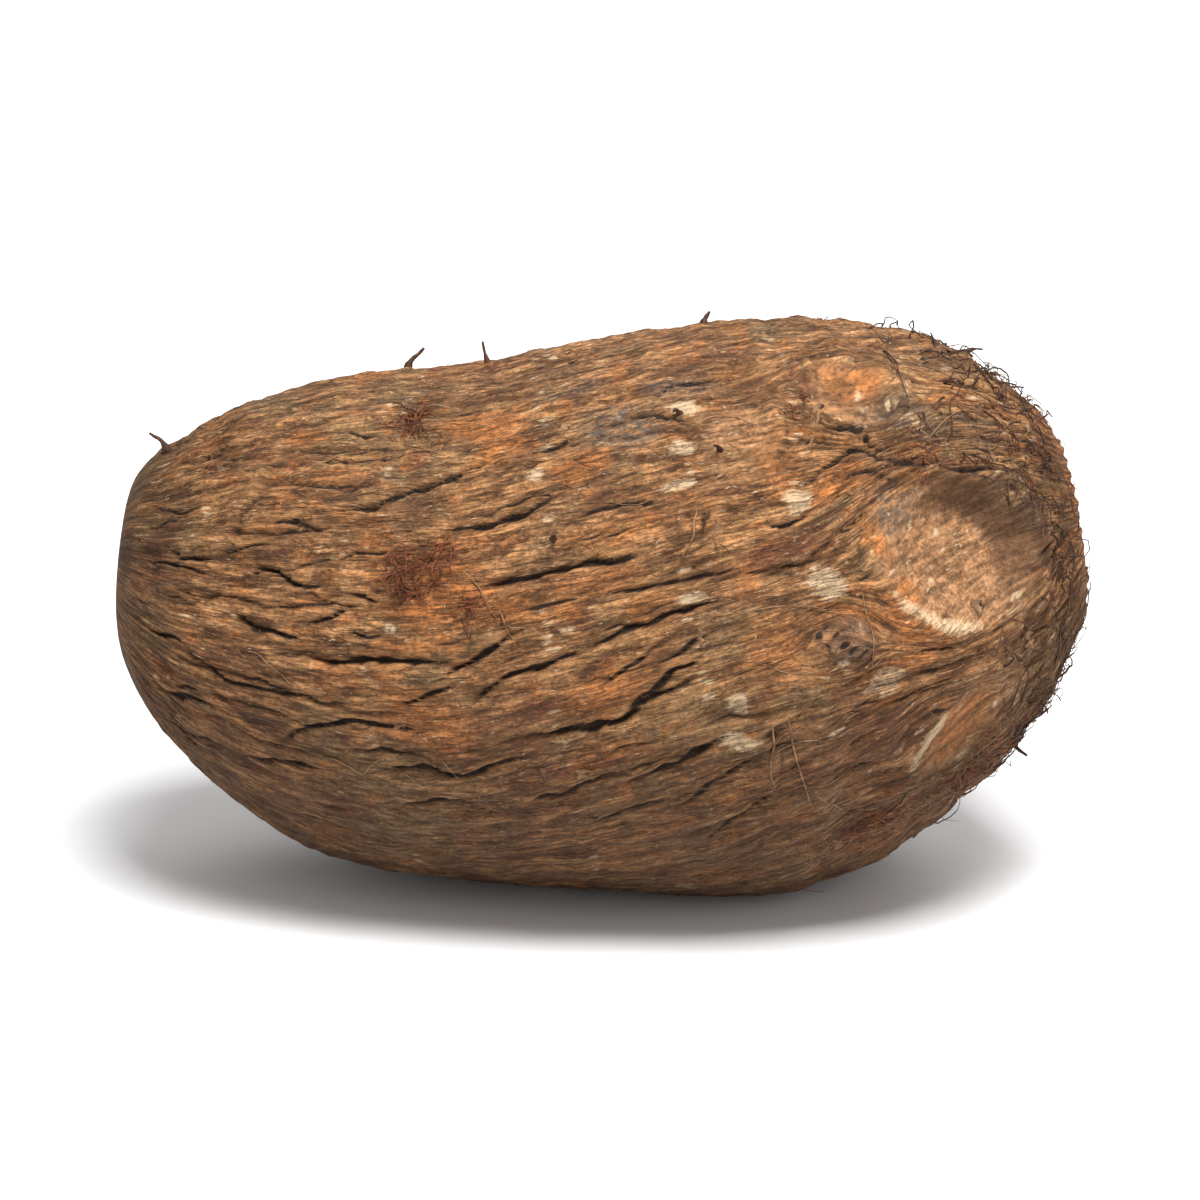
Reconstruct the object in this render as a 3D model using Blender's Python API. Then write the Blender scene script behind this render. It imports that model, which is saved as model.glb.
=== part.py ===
"""One taro corm, grown as a single piece and lying on its side.

The corm runs along +X from its base, where it hung on the mother corm, to its crown,
where the leaf stalks grew. It is a turned body, bowed along its length and wrinkled by
formula: leaf-scar rings go round it, furrows run along it, scars of side corms are
dished into it, and root stubs stand out of the rings. It rests on a small flat spot.

Sizes below are in millimetres and are scaled to metres at the end. An angle round the
body is 0 on the side towards -Y, 90 on top and -90 underneath.
"""

import math
import random

import bmesh
import bpy
import numpy as np
from mathutils import Vector, kdtree, noise

NAME = "corm"
MILLIMETRE = 0.001

# Mesh density: columns round the body, and rows along three stretches of its profile
COLUMNS = 112
BASE_ROWS = 3
BODY_ROWS = 33
CROWN_ROWS = 10

# The turned profile, as (distance along the body, radius)
BASE_PROFILE = [(1.6, 0.0), (1.2, 3.5), (0.0, 7.0)]
BODY_PROFILE = [
    (0.0, 7.0),
    (0.9, 11.4),
    (4.2, 15.8),
    (10.8, 21.2),
    (23.5, 26.8),
    (41.5, 30.2),
    (59.0, 32.2),
    (73.0, 32.6),
    (84.0, 30.8),
    (92.5, 26.8),
    (99.0, 21.2),
    (103.4, 15.6),
]
CROWN_PROFILE = [
    (103.4, 15.6),
    (104.9, 13.5),
    (104.7, 11.9),
    (103.3, 10.6),
    (102.7, 7.4),
    (102.5, 4.6),
    (103.6, 3.2),
    (104.5, 1.7),
    (104.7, 0.0),
]

# The body's own axis: (distance along the body, height). Cross-sections stay upright.
AXIS_HEIGHT = [
    (-4.0, 37.6),
    (0.0, 35.6),
    (5.0, 33.5),
    (12.0, 31.9),
    (23.5, 30.8),
    (41.5, 30.4),
    (59.0, 31.2),
    (73.0, 32.0),
    (84.0, 33.2),
    (92.5, 34.7),
    (99.0, 36.2),
    (105.0, 38.0),
    (112.0, 40.6),
]

# Sideways bow: both ends turn away to +Y from the middle, and the sections turn with it
BOW_MIDDLE = 48.0
BOW_DEPTH_BASE = 4.0
BOW_DEPTH_CROWN = 8.5
BOW_END = 105.0

# Uneven growth
LUMP_HEIGHT = 1.1
LUMP_LENGTH = 26.0

# Leaf-scar rings: place along the body, each a low ridge with a groove beside it.
# Ridge and groove stand either side of the place, in ring widths.
LEAF_RINGS = [4.5, 14.0, 32.5, 49.5, 64.0, 74.5, 82.5, 89.5, 95.5, 100.0]
RING_WAVE = 0.9
RING_SLANT = 2.6
RING_WIDTH = 2.0
RING_RIDGE = 0.85
RING_GROOVE = 0.75
RIDGE_PLACE = -0.4
GROOVE_PLACE = 0.9
RING_SEED = 11

# Furrows along the body, between the rings. They rise to the crown on the twisted part.
FURROWS_PER_RING = 24
FURROW_DEPTH = 1.6
FURROW_WIDTH = 1.6
FURROW_ENDS = 2.0
FURROW_WANDER = 0.8
FURROW_WAVE_LENGTH = 11.0
FURROW_TWIST = 0.12
TWISTED_STRETCH = (28.0, 52.0)
FURROW_SEED = 23

# Scars of side corms and buds: (along, angle in degrees, half length, half width, turn
# in degrees, depth of the dish, height of the lip). Other relief fades out inside them.
LIP_PLACE = 1.05
LIP_WIDTH = 0.2
DISH_SLOPE = (0.25, 1.0)
SCAR_EDGE = (0.8, 1.2)
RELIEF_IN_SCARS = 0.15
SIDE_SCARS = [
    (88.8, 26.5, 10.4, 8.2, -45.0, 2.8, 0.9),
    (88.2, -15.5, 6.5, 3.4, 62.0, 0.5, 0.6),
    (80.8, 68.0, 5.6, 6.0, -20.0, 0.5, 0.3),
    (86.5, 168.0, 8.4, 9.0, 10.0, 1.8, 0.8),
    (58.0, 205.0, 5.2, 6.4, -15.0, 1.0, 0.7),
    (9.5, 130.0, 5.0, 6.0, 0.0, 1.1, 0.6),
]

# Dormant buds, each a low dome in a ring groove: (along, angle in degrees, radius, height)
BUD_DOME = 0.7
BUD_GROOVE_PLACE = 1.3
BUD_GROOVE_WIDTH = 0.35
BUD_GROOVE_DEPTH = 0.5
BUDS = [
    (76.8, 11.0, 3.3, 1.5),
    (64.0, 128.0, 3.0, 1.2),
    (48.5, 232.0, 2.8, 1.0),
    (75.0, 218.0, 3.2, 1.4),
    (31.0, 176.0, 3.0, 1.2),
]

# Root stubs: thorn-like ends of dead roots, on the rings
STUBS_PLACED = [(31.5, 106.0), (41.0, 100.0), (66.6, 104.0), (96.0, 96.0), (97.5, -48.0)]
STUBS_DRAWN = 26
STUB_SHORTEST = 1.6
STUB_LONGEST = 3.6
STUB_SHOULDER = 0.42
STUB_SHOULDER_SCALE = 0.5
STUB_TIP_SCALE = 0.16
STUB_LEAN = 0.8
STUB_GAP = 5.0
STUB_FLOOR_CLEARANCE = 17.0
STUB_SEED = 5

# The stretch of the underside that is smooth and pressed flat where it lies
UNDERSIDE_START = (30.0, 40.0)
UNDERSIDE_END = (78.0, 88.0)
UNDERSIDE_WIDTH = 9.0

# Where wrinkles begin and end along the body, and the radius at which swells begin
WRINKLES_START = (0.5, 6.0)
WRINKLES_END = (100.5, 104.5)
SWELLS_START = (2.0, 9.0)

SKIN_COLOUR = (0.29, 0.155, 0.068, 1.0)
SKIN_ROUGHNESS = 0.85


def smooth_path(stations, samples):
    """Points on a Catmull-Rom curve through the stations, evenly spaced along it."""
    points = [Vector((a, b)) for a, b in stations]
    points = [2 * points[0] - points[1], *points, 2 * points[-1] - points[-2]]
    curve = []
    steps = 24
    for k in range(1, len(points) - 2):
        before, start, end, after = points[k - 1 : k + 3]
        for step in range(steps):
            t = step / steps
            curve.append(
                0.5
                * (
                    2 * start
                    + (end - before) * t
                    + (2 * before - 5 * start + 4 * end - after) * t**2
                    + (3 * start - before - 3 * end + after) * t**3
                )
            )
    curve.append(points[-2])
    curve = np.array([tuple(p) for p in curve])
    lengths = np.concatenate([[0], np.cumsum(np.linalg.norm(np.diff(curve, axis=0), axis=1))])
    wanted = np.linspace(0, lengths[-1], samples)
    return np.column_stack([np.interp(wanted, lengths, curve[:, k]) for k in (0, 1)])


def profile_rows():
    """(along, radius) of every row of the mesh, from the base pole to the crown pole."""
    base = smooth_path(BASE_PROFILE, BASE_ROWS + 1)
    body = smooth_path(BODY_PROFILE, BODY_ROWS + 1)
    crown = smooth_path(CROWN_PROFILE, CROWN_ROWS + 1)
    rows = np.vstack([base, body[1:], crown[1:]])
    rows[0, 1] = rows[-1, 1] = 0.0
    return rows


def profile_normals(rows):
    """Outward direction (along, radius) of the profile at each row."""
    slope = np.gradient(rows, axis=0)
    normals = np.column_stack([-slope[:, 1], slope[:, 0]])
    normals /= np.linalg.norm(normals, axis=1)[:, None]
    normals[0] = (-1.0, 0.0)
    normals[-1] = (1.0, 0.0)
    return normals


def angle_between(angles, centre):
    """Signed difference of angles, in radians, from -pi to pi."""
    return (angles - centre + math.pi) % (2 * math.pi) - math.pi


def fade(values, low, high):
    """0 below low, 1 above high and a smooth step between them."""
    t = np.clip((values - low) / (high - low), 0, 1)
    return t * t * (3 - 2 * t)


def lumps(along, radius, angles):
    """Slow swells of the whole body."""
    return np.array(
        [
            LUMP_HEIGHT
            * noise.noise(
                Vector((a, r * math.cos(t), r * math.sin(t))) / LUMP_LENGTH + Vector((3.1, 0.4, 7.7))
            )
            for a, r, t in zip(along, radius, angles)
        ]
    )


def leaf_rings(along, angles):
    """Low ridges round the body with a groove on the crown side of each."""
    draw = random.Random(RING_SEED)
    height = np.zeros_like(along)
    for place in LEAF_RINGS:
        phase, second_phase = draw.uniform(0, 6.28), draw.uniform(0, 6.28)
        wave = np.sin(angles + phase) + 0.5 * np.sin(3 * angles + second_phase)
        slant = RING_SLANT * fade(along, *TWISTED_STRETCH) * np.sin(angles)
        offset = (along - place + slant - RING_WAVE * wave) / RING_WIDTH
        height += RING_RIDGE * np.exp(-((offset - RIDGE_PLACE) ** 2))
        height -= RING_GROOVE * np.exp(-((offset - GROOVE_PLACE) ** 2))
    return height


def furrow_lines():
    """(start, end, angle at the middle, drift, wave phase, depth) of each furrow."""
    draw = random.Random(FURROW_SEED)
    lines = []
    for lower, upper in zip(LEAF_RINGS[:-1], LEAF_RINGS[1:]):
        span = upper - lower
        for k in range(FURROWS_PER_RING):
            angle = (k + draw.uniform(-0.4, 0.4)) * 2 * math.pi / FURROWS_PER_RING
            start = lower + span * draw.uniform(-0.35, 0.4)
            end = upper + span * draw.uniform(-0.45, 0.35)
            drift = draw.uniform(-0.1, 0.1)
            phase = draw.uniform(0, 2 * math.pi)
            depth = FURROW_DEPTH * draw.uniform(0.35, 1.0)
            lines.append((start, end, angle, drift, phase, depth))
    return lines


def furrows(along, radius, angles):
    """Grooves that run along the body and wander a little."""
    height = np.zeros_like(along)
    for start, end, angle, drift, phase, depth in furrow_lines():
        middle = (start + end) / 2
        wander = FURROW_WANDER * np.sin(2 * math.pi * along / FURROW_WAVE_LENGTH + phase)
        slope = drift + FURROW_TWIST * fade(along, *TWISTED_STRETCH)
        across = angle_between(angles, angle) * radius - slope * (along - middle) - wander
        ends = fade(along, start - FURROW_ENDS, start + FURROW_ENDS)
        ends *= 1 - fade(along, end - FURROW_ENDS, end + FURROW_ENDS)
        height = np.minimum(height, -depth * ends * np.exp(-((across / FURROW_WIDTH) ** 2)))
    return height


def side_scars(along, radius, angles):
    """Height of the dished scars, and how much of the other relief stays (0 inside)."""
    height = np.zeros_like(along)
    kept = np.ones_like(along)
    for place, degrees, half_length, half_width, turn, depth, lip in SIDE_SCARS:
        u = along - place
        v = angle_between(angles, math.radians(degrees)) * radius
        cosine, sine = math.cos(math.radians(turn)), math.sin(math.radians(turn))
        q = np.hypot((u * cosine + v * sine) / half_length, (v * cosine - u * sine) / half_width)
        height += lip * np.exp(-(((q - LIP_PLACE) / LIP_WIDTH) ** 2))
        height -= depth * (1 - fade(q, *DISH_SLOPE))
        kept *= RELIEF_IN_SCARS + (1 - RELIEF_IN_SCARS) * fade(q, *SCAR_EDGE)
    return height, kept


def buds(along, radius, angles):
    """Low domes, each with a groove round it."""
    height = np.zeros_like(along)
    for place, degrees, size, rise in BUDS:
        v = angle_between(angles, math.radians(degrees)) * radius
        q = np.hypot(along - place, v) / size
        groove = np.exp(-(((q - BUD_GROOVE_PLACE) / BUD_GROOVE_WIDTH) ** 2))
        height += rise * (np.exp(-((q / BUD_DOME) ** 2)) - BUD_GROOVE_DEPTH * groove)
    return height


def relief(along, radius, angles):
    """How far the skin stands out from the turned profile."""
    scar_height, kept = side_scars(along, radius, angles)
    on_body = fade(along, *WRINKLES_START) * (1 - fade(along, *WRINKLES_END))
    wrinkles = leaf_rings(along, angles) + furrows(along, radius, angles)
    middle = fade(radius, *SWELLS_START)
    underneath = np.exp(-((angle_between(angles, -math.pi / 2) * radius / UNDERSIDE_WIDTH) ** 2))
    calm = 1 - underneath * fade(along, *UNDERSIDE_START) * (1 - fade(along, *UNDERSIDE_END))
    height = on_body * (kept * wrinkles + buds(along, radius, angles)) + scar_height * middle
    return calm * height + middle * lumps(along, radius, angles)


def bow(along):
    """Sideways offset of the axis: both ends turn away from the middle."""
    base = BOW_DEPTH_BASE * np.clip((BOW_MIDDLE - along) / BOW_MIDDLE, 0, None) ** 2
    crown = BOW_DEPTH_CROWN * np.clip((along - BOW_MIDDLE) / (BOW_END - BOW_MIDDLE), 0, None) ** 2
    return base + crown


def on_axis(along):
    """(offset to +Y, height, sideways slope) of the bowed axis."""
    stations = smooth_path(AXIS_HEIGHT, 400)
    height = np.interp(along, stations[:, 0], stations[:, 1])
    step = 1.0
    turn = (bow(along + step) - bow(along - step)) / (2 * step)
    return bow(along), height, turn


def place_skin(along, radius, angles, normals):
    """World positions, in millimetres, of skin points given on the straight body."""
    height = relief(along, radius, angles)
    along = along + normals[:, 0] * height
    radius = radius + normals[:, 1] * height
    aside, up = -radius * np.cos(angles), radius * np.sin(angles)
    offset, axis_height, turn = on_axis(along)
    return np.column_stack([along - turn * aside, offset + aside, axis_height + up])


def skin_mesh():
    """The wrinkled skin as a bmesh, from a sphere whose poles are the base and crown."""
    rows = profile_rows()
    normals = profile_normals(rows)
    bpy.ops.mesh.primitive_uv_sphere_add(segments=COLUMNS, ring_count=len(rows) - 1)
    body = bpy.context.object
    body.name = NAME
    body.data.name = NAME
    sphere = np.array([v.co for v in body.data.vertices])
    row = np.rint(np.arccos(np.clip(-sphere[:, 2], -1, 1)) / math.pi * (len(rows) - 1)).astype(int)
    # The sphere's pole axis turns into +X, so angles run the other way to keep faces outward
    angles = np.arctan2(-sphere[:, 1], sphere[:, 0])
    placed = place_skin(rows[row, 0], rows[row, 1], angles, normals[row])
    placed[:, 2] = np.maximum(placed[:, 2], 0.0)
    body.data.vertices.foreach_set("co", placed.astype(np.float32).ravel())
    return body


def stub_sites():
    """Where root stubs stand: (along, angle) on the leaf-scar rings."""
    draw = random.Random(STUB_SEED)
    sites = [(place, math.radians(degrees)) for place, degrees in STUBS_PLACED]
    for k in range(STUBS_DRAWN):
        ring = LEAF_RINGS[k % len(LEAF_RINGS)]
        sites.append((ring + draw.uniform(-2.0, 2.0), draw.uniform(-math.pi, math.pi)))
    return sites


def inside_scar(along, angle, radius):
    """Whether a place on the skin lies in the dish of a side scar."""
    for place, degrees, half_length, half_width, *_ in SIDE_SCARS:
        across = angle_between(angle, math.radians(degrees)) * radius
        if math.hypot((along - place) / half_length, across / half_width) < SCAR_EDGE[1]:
            return True
    return False


def grow_stubs(body):
    """Draws single faces of the skin out into tapered root stubs."""
    rows = profile_rows()
    edge = int(np.argmax(rows[:, 0]))
    draw = random.Random(STUB_SEED + 1)
    mesh = bmesh.new()
    mesh.from_mesh(body.data)
    mesh.normal_update()
    faces = [f for f in mesh.faces if len(f.verts) == 4]
    tree = kdtree.KDTree(len(faces))
    for k, face in enumerate(faces):
        tree.insert(face.calc_center_median(), k)
    tree.balance()
    taken = []
    for along, angle in stub_sites():
        radius = np.interp(along, rows[:edge, 0], rows[:edge, 1])
        site = place_skin(
            np.array([along]), np.array([radius]), np.array([angle]), np.array([[0.0, 1.0]])
        )[0]
        centre, k, _ = tree.find(Vector(site))
        near = any((centre - other).length < STUB_GAP for other in taken)
        if near or inside_scar(along, angle, radius) or centre.z < STUB_FLOOR_CLEARANCE:
            continue
        taken.append(centre)
        draw_out(mesh, faces[k], draw)
    mesh.to_mesh(body.data)
    mesh.free()


def draw_out(mesh, face, draw):
    """Extrudes one face in two steps, each smaller than the last."""
    length = draw.uniform(STUB_SHORTEST, STUB_LONGEST)
    lean = Vector((draw.uniform(-1, 1), draw.uniform(-1, 1), draw.uniform(-0.3, 1))) * STUB_LEAN
    direction = (face.normal + lean).normalized()
    start = face.calc_center_median()
    shape = [v.co - start for v in face.verts]
    for share, scale in ((STUB_SHOULDER, STUB_SHOULDER_SCALE), (1.0, STUB_TIP_SCALE)):
        face = bmesh.ops.extrude_discrete_faces(mesh, faces=[face])["faces"][0]
        for vertex, corner in zip(face.verts, shape):
            vertex.co = start + direction * length * share + corner * scale


def centre_on_origin(body):
    """Puts the middle of the body's box over the origin, with its lowest point at zero."""
    points = np.array([v.co for v in body.data.vertices])
    low, high = points.min(0), points.max(0)
    shift = np.array([(low[0] + high[0]) / 2, (low[1] + high[1]) / 2, low[2]])
    points = (points - shift) * MILLIMETRE
    body.data.vertices.foreach_set("co", points.astype(np.float32).ravel())
    body.data.update()


def skin_material():
    """Dry brown skin."""
    material = bpy.data.materials.new("corm_skin")
    material.use_nodes = True
    shader = material.node_tree.nodes["Principled BSDF"]
    shader.inputs["Base Color"].default_value = SKIN_COLOUR
    shader.inputs["Roughness"].default_value = SKIN_ROUGHNESS
    shader.inputs["Metallic"].default_value = 0.0
    return material


def main():
    for existing in list(bpy.data.objects):
        bpy.data.objects.remove(existing)
    body = skin_mesh()
    grow_stubs(body)
    centre_on_origin(body)
    body.data.materials.append(skin_material())
    body.data.shade_smooth()
    collection = bpy.data.collections.new("taro_corm")
    bpy.context.scene.collection.children.link(collection)
    for owner in list(body.users_collection):
        owner.objects.unlink(body)
    collection.objects.link(body)


main()
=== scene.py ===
"""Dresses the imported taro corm: fine skin, fibres, sheath remnants, root stubs and studio.

Lengths are in millimetres on the corm's own straight axis, from its base to its crown, and
become metres when points are placed. An angle round the body is 0 on the side towards -Y,
90 on top and -90 underneath. A mark seen in the picture is given by its distance from the
left end of the corm there and its height above the corm's middle line, in millimetres.
"""

import logging
import math
import random
from dataclasses import dataclass, field
from enum import Enum

import bpy
import numpy as np
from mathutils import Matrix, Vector, noise


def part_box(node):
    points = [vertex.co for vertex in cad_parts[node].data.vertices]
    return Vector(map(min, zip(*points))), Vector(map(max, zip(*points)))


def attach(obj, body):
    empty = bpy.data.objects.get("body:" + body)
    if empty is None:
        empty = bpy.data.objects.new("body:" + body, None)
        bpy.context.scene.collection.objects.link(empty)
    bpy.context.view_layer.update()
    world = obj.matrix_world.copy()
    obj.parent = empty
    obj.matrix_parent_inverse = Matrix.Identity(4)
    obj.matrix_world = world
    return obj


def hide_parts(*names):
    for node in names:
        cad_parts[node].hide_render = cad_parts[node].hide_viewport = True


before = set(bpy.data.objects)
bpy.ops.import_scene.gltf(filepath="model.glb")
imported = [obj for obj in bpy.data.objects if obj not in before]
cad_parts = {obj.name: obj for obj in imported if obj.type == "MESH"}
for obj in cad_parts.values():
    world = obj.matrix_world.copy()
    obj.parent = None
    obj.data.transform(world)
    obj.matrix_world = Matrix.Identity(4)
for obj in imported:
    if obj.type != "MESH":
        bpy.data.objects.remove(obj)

log = logging.getLogger("taro_corm")
MILLIMETRE = 0.001
NODE = "corm"
BODY = "root"
FULL_TURN = 6.28  # as the random draws take it, a little short of 2 pi
SCAR_REACH = 0.92  # share of a side scar's dish that fibres stay out of
FIBRE_CLEARANCE = 0.6  # least height of a fibre's middle above the floor, in millimetres
Array = np.ndarray
Colour = tuple[float, float, float, float]
Points = tuple[tuple[float, float], ...]


# Shared arithmetic


def fade(values: Array, low: float, high: float) -> Array:
    """Returns 0 below low, 1 above high and a smooth step between them."""
    t = np.clip((np.asarray(values, float) - low) / (high - low), 0, 1)
    return t * t * (3 - 2 * t)


def bell(values: Array, centre: float, width: float) -> Array:
    """Returns a bell of height 1 round centre."""
    return np.exp(-(((values - centre) / width) ** 2))


def angle_between(angles: Array, centre: float | Array) -> Array:
    """Returns the signed difference of angles, in radians, from -pi to pi."""
    return (angles - centre + math.pi) % (2 * math.pi) - math.pi


def any_angle(draw: random.Random) -> float:
    """Returns an angle drawn from all round the body."""
    return draw.uniform(-FULL_TURN / 2, FULL_TURN / 2)


def on_ellipse(
    u: Array, v: Array, degrees: float, half_length: float, half_width: float
) -> tuple[Array, Array]:
    """Returns offsets along and across the skin as shares of a turned ellipse's half axes."""
    turn = math.radians(degrees)
    a = (u * math.cos(turn) + v * math.sin(turn)) / half_length
    b = (v * math.cos(turn) - u * math.sin(turn)) / half_width
    return a, b


def smooth_path(stations: Points, samples: int) -> Array:
    """Samples a Catmull-Rom curve evenly.

    Args:
        stations: Points that the curve passes through.
        samples: How many points to return.

    Returns:
        An array of points, evenly spaced along the curve.
    """
    points = [np.array(p, float) for p in stations]
    points = [2 * points[0] - points[1], *points, 2 * points[-1] - points[-2]]
    steps = np.linspace(0, 1, 24, endpoint=False)[:, None]
    curve = []
    for k in range(1, len(points) - 2):
        before, start, end, after = points[k - 1 : k + 3]
        curve.append(
            0.5
            * (
                2 * start
                + (end - before) * steps
                + (2 * before - 5 * start + 4 * end - after) * steps**2
                + (3 * start - before - 3 * end + after) * steps**3
            )
        )
    curve = np.vstack([*curve, points[-2][None]])
    lengths = np.concatenate([[0], np.cumsum(np.linalg.norm(np.diff(curve, axis=0), axis=1))])
    wanted = np.linspace(0, lengths[-1], samples)
    return np.column_stack([np.interp(wanted, lengths, curve[:, k]) for k in (0, 1)])


@dataclass(frozen=True)
class Weave:
    """Smooth noise: the size of its features, a seed that moves it and its number of layers."""

    size: tuple[float, float, float]
    seed: float
    layers: int = 1
    seed_step: float = 17.31
    fading: float = 0.9
    finer: float = 2.1

    def over(self, points: Array) -> Array:
        """Evaluates the noise at many points.

        Args:
            points: Positions in millimetres, in the last axis.

        Returns:
            Values from about -1 to 1, in the shape of points without its last axis.
        """
        flat = (points.reshape(-1, 3) / np.array(self.size) + self.seed * self.seed_step).tolist()
        if self.layers == 1:
            values = [noise.noise(p) for p in flat]
        else:
            values = [noise.fractal(p, self.fading, self.finer, self.layers) for p in flat]
        return np.array(values).reshape(points.shape[:-1])


RAGGED_EDGES = Weave((4.0, 1.8, 1.8), 1.0, layers=3)
BARK = Weave((6.5, 1.9, 1.9), 2.0, layers=3)
FINE_FIBRES = Weave((3.6, 0.9, 0.9), 3.0)
PITS = Weave((1.5, 1.5, 1.5), 4.0)
RING_BREAKS = Weave((14.0, 7.0, 7.0), 5.0)


# The corm's form, from the same sizes as its solid


@dataclass(frozen=True)
class Form:
    """The turned and bowed body, with its slow swells."""

    base: Points = ((1.6, 0.0), (1.2, 3.5), (0.0, 7.0))
    body: Points = (
        (0.0, 7.0),
        (0.9, 11.4),
        (4.2, 15.8),
        (10.8, 21.2),
        (23.5, 26.8),
        (41.5, 30.2),
        (59.0, 32.2),
        (73.0, 32.6),
        (84.0, 30.8),
        (92.5, 26.8),
        (99.0, 21.2),
        (103.4, 15.6),
    )
    crown: Points = (
        (103.4, 15.6),
        (104.9, 13.5),
        (104.7, 11.9),
        (103.3, 10.6),
        (102.7, 7.4),
        (102.5, 4.6),
        (103.6, 3.2),
        (104.5, 1.7),
        (104.7, 0.0),
    )
    axis_height: Points = (
        (-4.0, 37.6),
        (0.0, 35.6),
        (5.0, 33.5),
        (12.0, 31.9),
        (23.5, 30.8),
        (41.5, 30.4),
        (59.0, 31.2),
        (73.0, 32.0),
        (84.0, 33.2),
        (92.5, 34.7),
        (99.0, 36.2),
        (105.0, 38.0),
        (112.0, 40.6),
    )
    bow_middle: float = 48.0
    bow_depth_base: float = 4.0
    bow_depth_crown: float = 8.5
    bow_end: float = 105.0
    swell_height: float = 1.1
    swell_length: float = 26.0
    middle_of_box: tuple[float, float, float] = (54.005, 1.189, 0.0)
    view_elevation: float = 20.0
    view_left: float = -1.35
    middle_line: Points = (
        (0.0, 34.5),
        (5.3, 32.5),
        (24.9, 28.6),
        (42.7, 28.6),
        (60.5, 29.3),
        (78.3, 29.8),
        (96.1, 32.3),
        (105.0, 36.0),
        (110.0, 38.5),
    )

    def bow(self, along: Array) -> Array:
        """Returns how far the axis turns away to +Y at each place."""
        base = np.clip((self.bow_middle - along) / self.bow_middle, 0, None) ** 2
        reach = self.bow_end - self.bow_middle
        crown = np.clip((along - self.bow_middle) / reach, 0, None) ** 2
        return self.bow_depth_base * base + self.bow_depth_crown * crown

    def axis(self, along: Array) -> tuple[Array, Array, Array]:
        """Returns the offset to +Y, the height and the sideways slope of the axis."""
        stations = smooth_path(self.axis_height, 400)
        height = np.interp(along, stations[:, 0], stations[:, 1])
        turn = (self.bow(along + 1.0) - self.bow(along - 1.0)) / 2.0
        return self.bow(along), height, turn

    def radius_at(self, along: Array) -> Array:
        """Returns the radius of the side of the body at each place along it."""
        rows = smooth_path(self.body, 300)
        return np.interp(along, rows[:, 0], rows[:, 1])

    def swells(self, along: Array, radius: Array, angles: Array) -> Array:
        """Returns the height of slow swells of the whole body."""
        points = np.stack([along, radius * np.cos(angles), radius * np.sin(angles)], axis=-1)
        flat = (points.reshape(-1, 3) / self.swell_length + np.array((3.1, 0.4, 7.7))).tolist()
        values = np.array([noise.noise(p) for p in flat]).reshape(along.shape)
        return self.swell_height * values * fade(radius, 2.0, 9.0)

    def place(self, along: Array, radius: Array, angles: Array) -> Array:
        """Returns positions in metres for points given on the straight body."""
        aside, up = -radius * np.cos(angles), radius * np.sin(angles)
        offset, height, turn = self.axis(along)
        points = np.stack([along - turn * aside, offset + aside, height + up], axis=-1)
        points[..., 2] = np.maximum(points[..., 2], 0.0)
        return (points - np.array(self.middle_of_box)) * MILLIMETRE

    def seen(self, x: float, v: float) -> tuple[float, float]:
        """Finds the place on the skin that the picture shows.

        Args:
            x: Millimetres from the left end of the corm in the picture.
            v: Millimetres above its middle line there.

        Returns:
            The distance along the body and the angle in radians.
        """
        tilt = math.radians(self.view_elevation)
        line = np.array(self.middle_line)
        level = float(np.interp(x, line[:, 0], line[:, 1])) + v
        along, angle = x + self.view_left, tilt
        for _ in range(12):
            radius = float(self.radius_at(along))
            offset, height, turn = (float(value) for value in self.axis(np.float64(along)))
            middle = height * math.cos(tilt) + offset * math.sin(tilt)
            angle = tilt + math.asin(max(-0.995, min(0.995, (level - middle) / radius)))
            along = x + self.view_left - turn * radius * math.cos(angle)
        return along, angle


# Marks on the skin


class Tint(Enum):
    """Kinds of patch that colour the skin."""

    PALE = "pale"
    WARM = "warm"
    RED = "red"
    GREY = "grey"
    # dark patches of skin, and painted shadow under the big side scar's right rim
    DARK = "dark"
    SMOOTH = "smooth"


class Mark(Enum):
    """Kinds of line on the skin."""

    CRACK = "crack"
    LEDGE = "ledge"
    # a raised ridge, with painted shade in a dark band on each side
    RIDGE = "ridge"


@dataclass(frozen=True)
class SideScar:
    """The dish left by a side corm that has broken away."""

    along: float
    degrees: float
    half_length: float
    half_width: float
    turn: float
    depth: float
    lip: float
    crescent: float | None = None
    # direction in which the rim overhangs and throws a painted shadow into the dish
    overhang: float | None = None
    bare: float = 1.0


@dataclass(frozen=True)
class Bud:
    """A dormant bud: a low dome with a groove and wrinkles round it."""

    along: float
    degrees: float
    size: float
    rise: float


@dataclass(frozen=True)
class Patch:
    """The size, tint, turn and strength of a coloured patch."""

    half_length: float
    half_width: float
    tint: Tint
    turn: float = 0.0
    strength: float = 1.0


@dataclass(frozen=True)
class Line:
    """A line over the skin, as places along the body and angles."""

    kind: Mark
    width: float
    along: Array
    angles: Array


SIDE_SCARS = (
    SideScar(88.8, 26.5, 10.4, 8.2, -45.0, 2.8, 0.9, crescent=245.0, overhang=32.0),
    SideScar(88.2, -15.5, 6.5, 3.4, 62.0, 0.5, 0.6, crescent=165.0, bare=0.6),
    SideScar(80.8, 68.0, 5.6, 6.0, -20.0, 0.5, 0.3, bare=0.3),
    SideScar(86.5, 168.0, 8.4, 9.0, 10.0, 1.8, 0.8, crescent=250.0, overhang=70.0),
    SideScar(58.0, 205.0, 5.2, 6.4, -15.0, 1.0, 0.7, crescent=100.0, overhang=280.0),
    SideScar(9.5, 130.0, 5.0, 6.0, 0.0, 1.1, 0.6, overhang=0.0),
)

BUDS = (
    Bud(76.8, 11.0, 3.3, 1.5),
    Bud(64.0, 128.0, 3.0, 1.2),
    Bud(48.5, 232.0, 2.8, 1.0),
    Bud(75.0, 218.0, 3.2, 1.4),
    Bud(31.0, 176.0, 3.0, 1.2),
)

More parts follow.
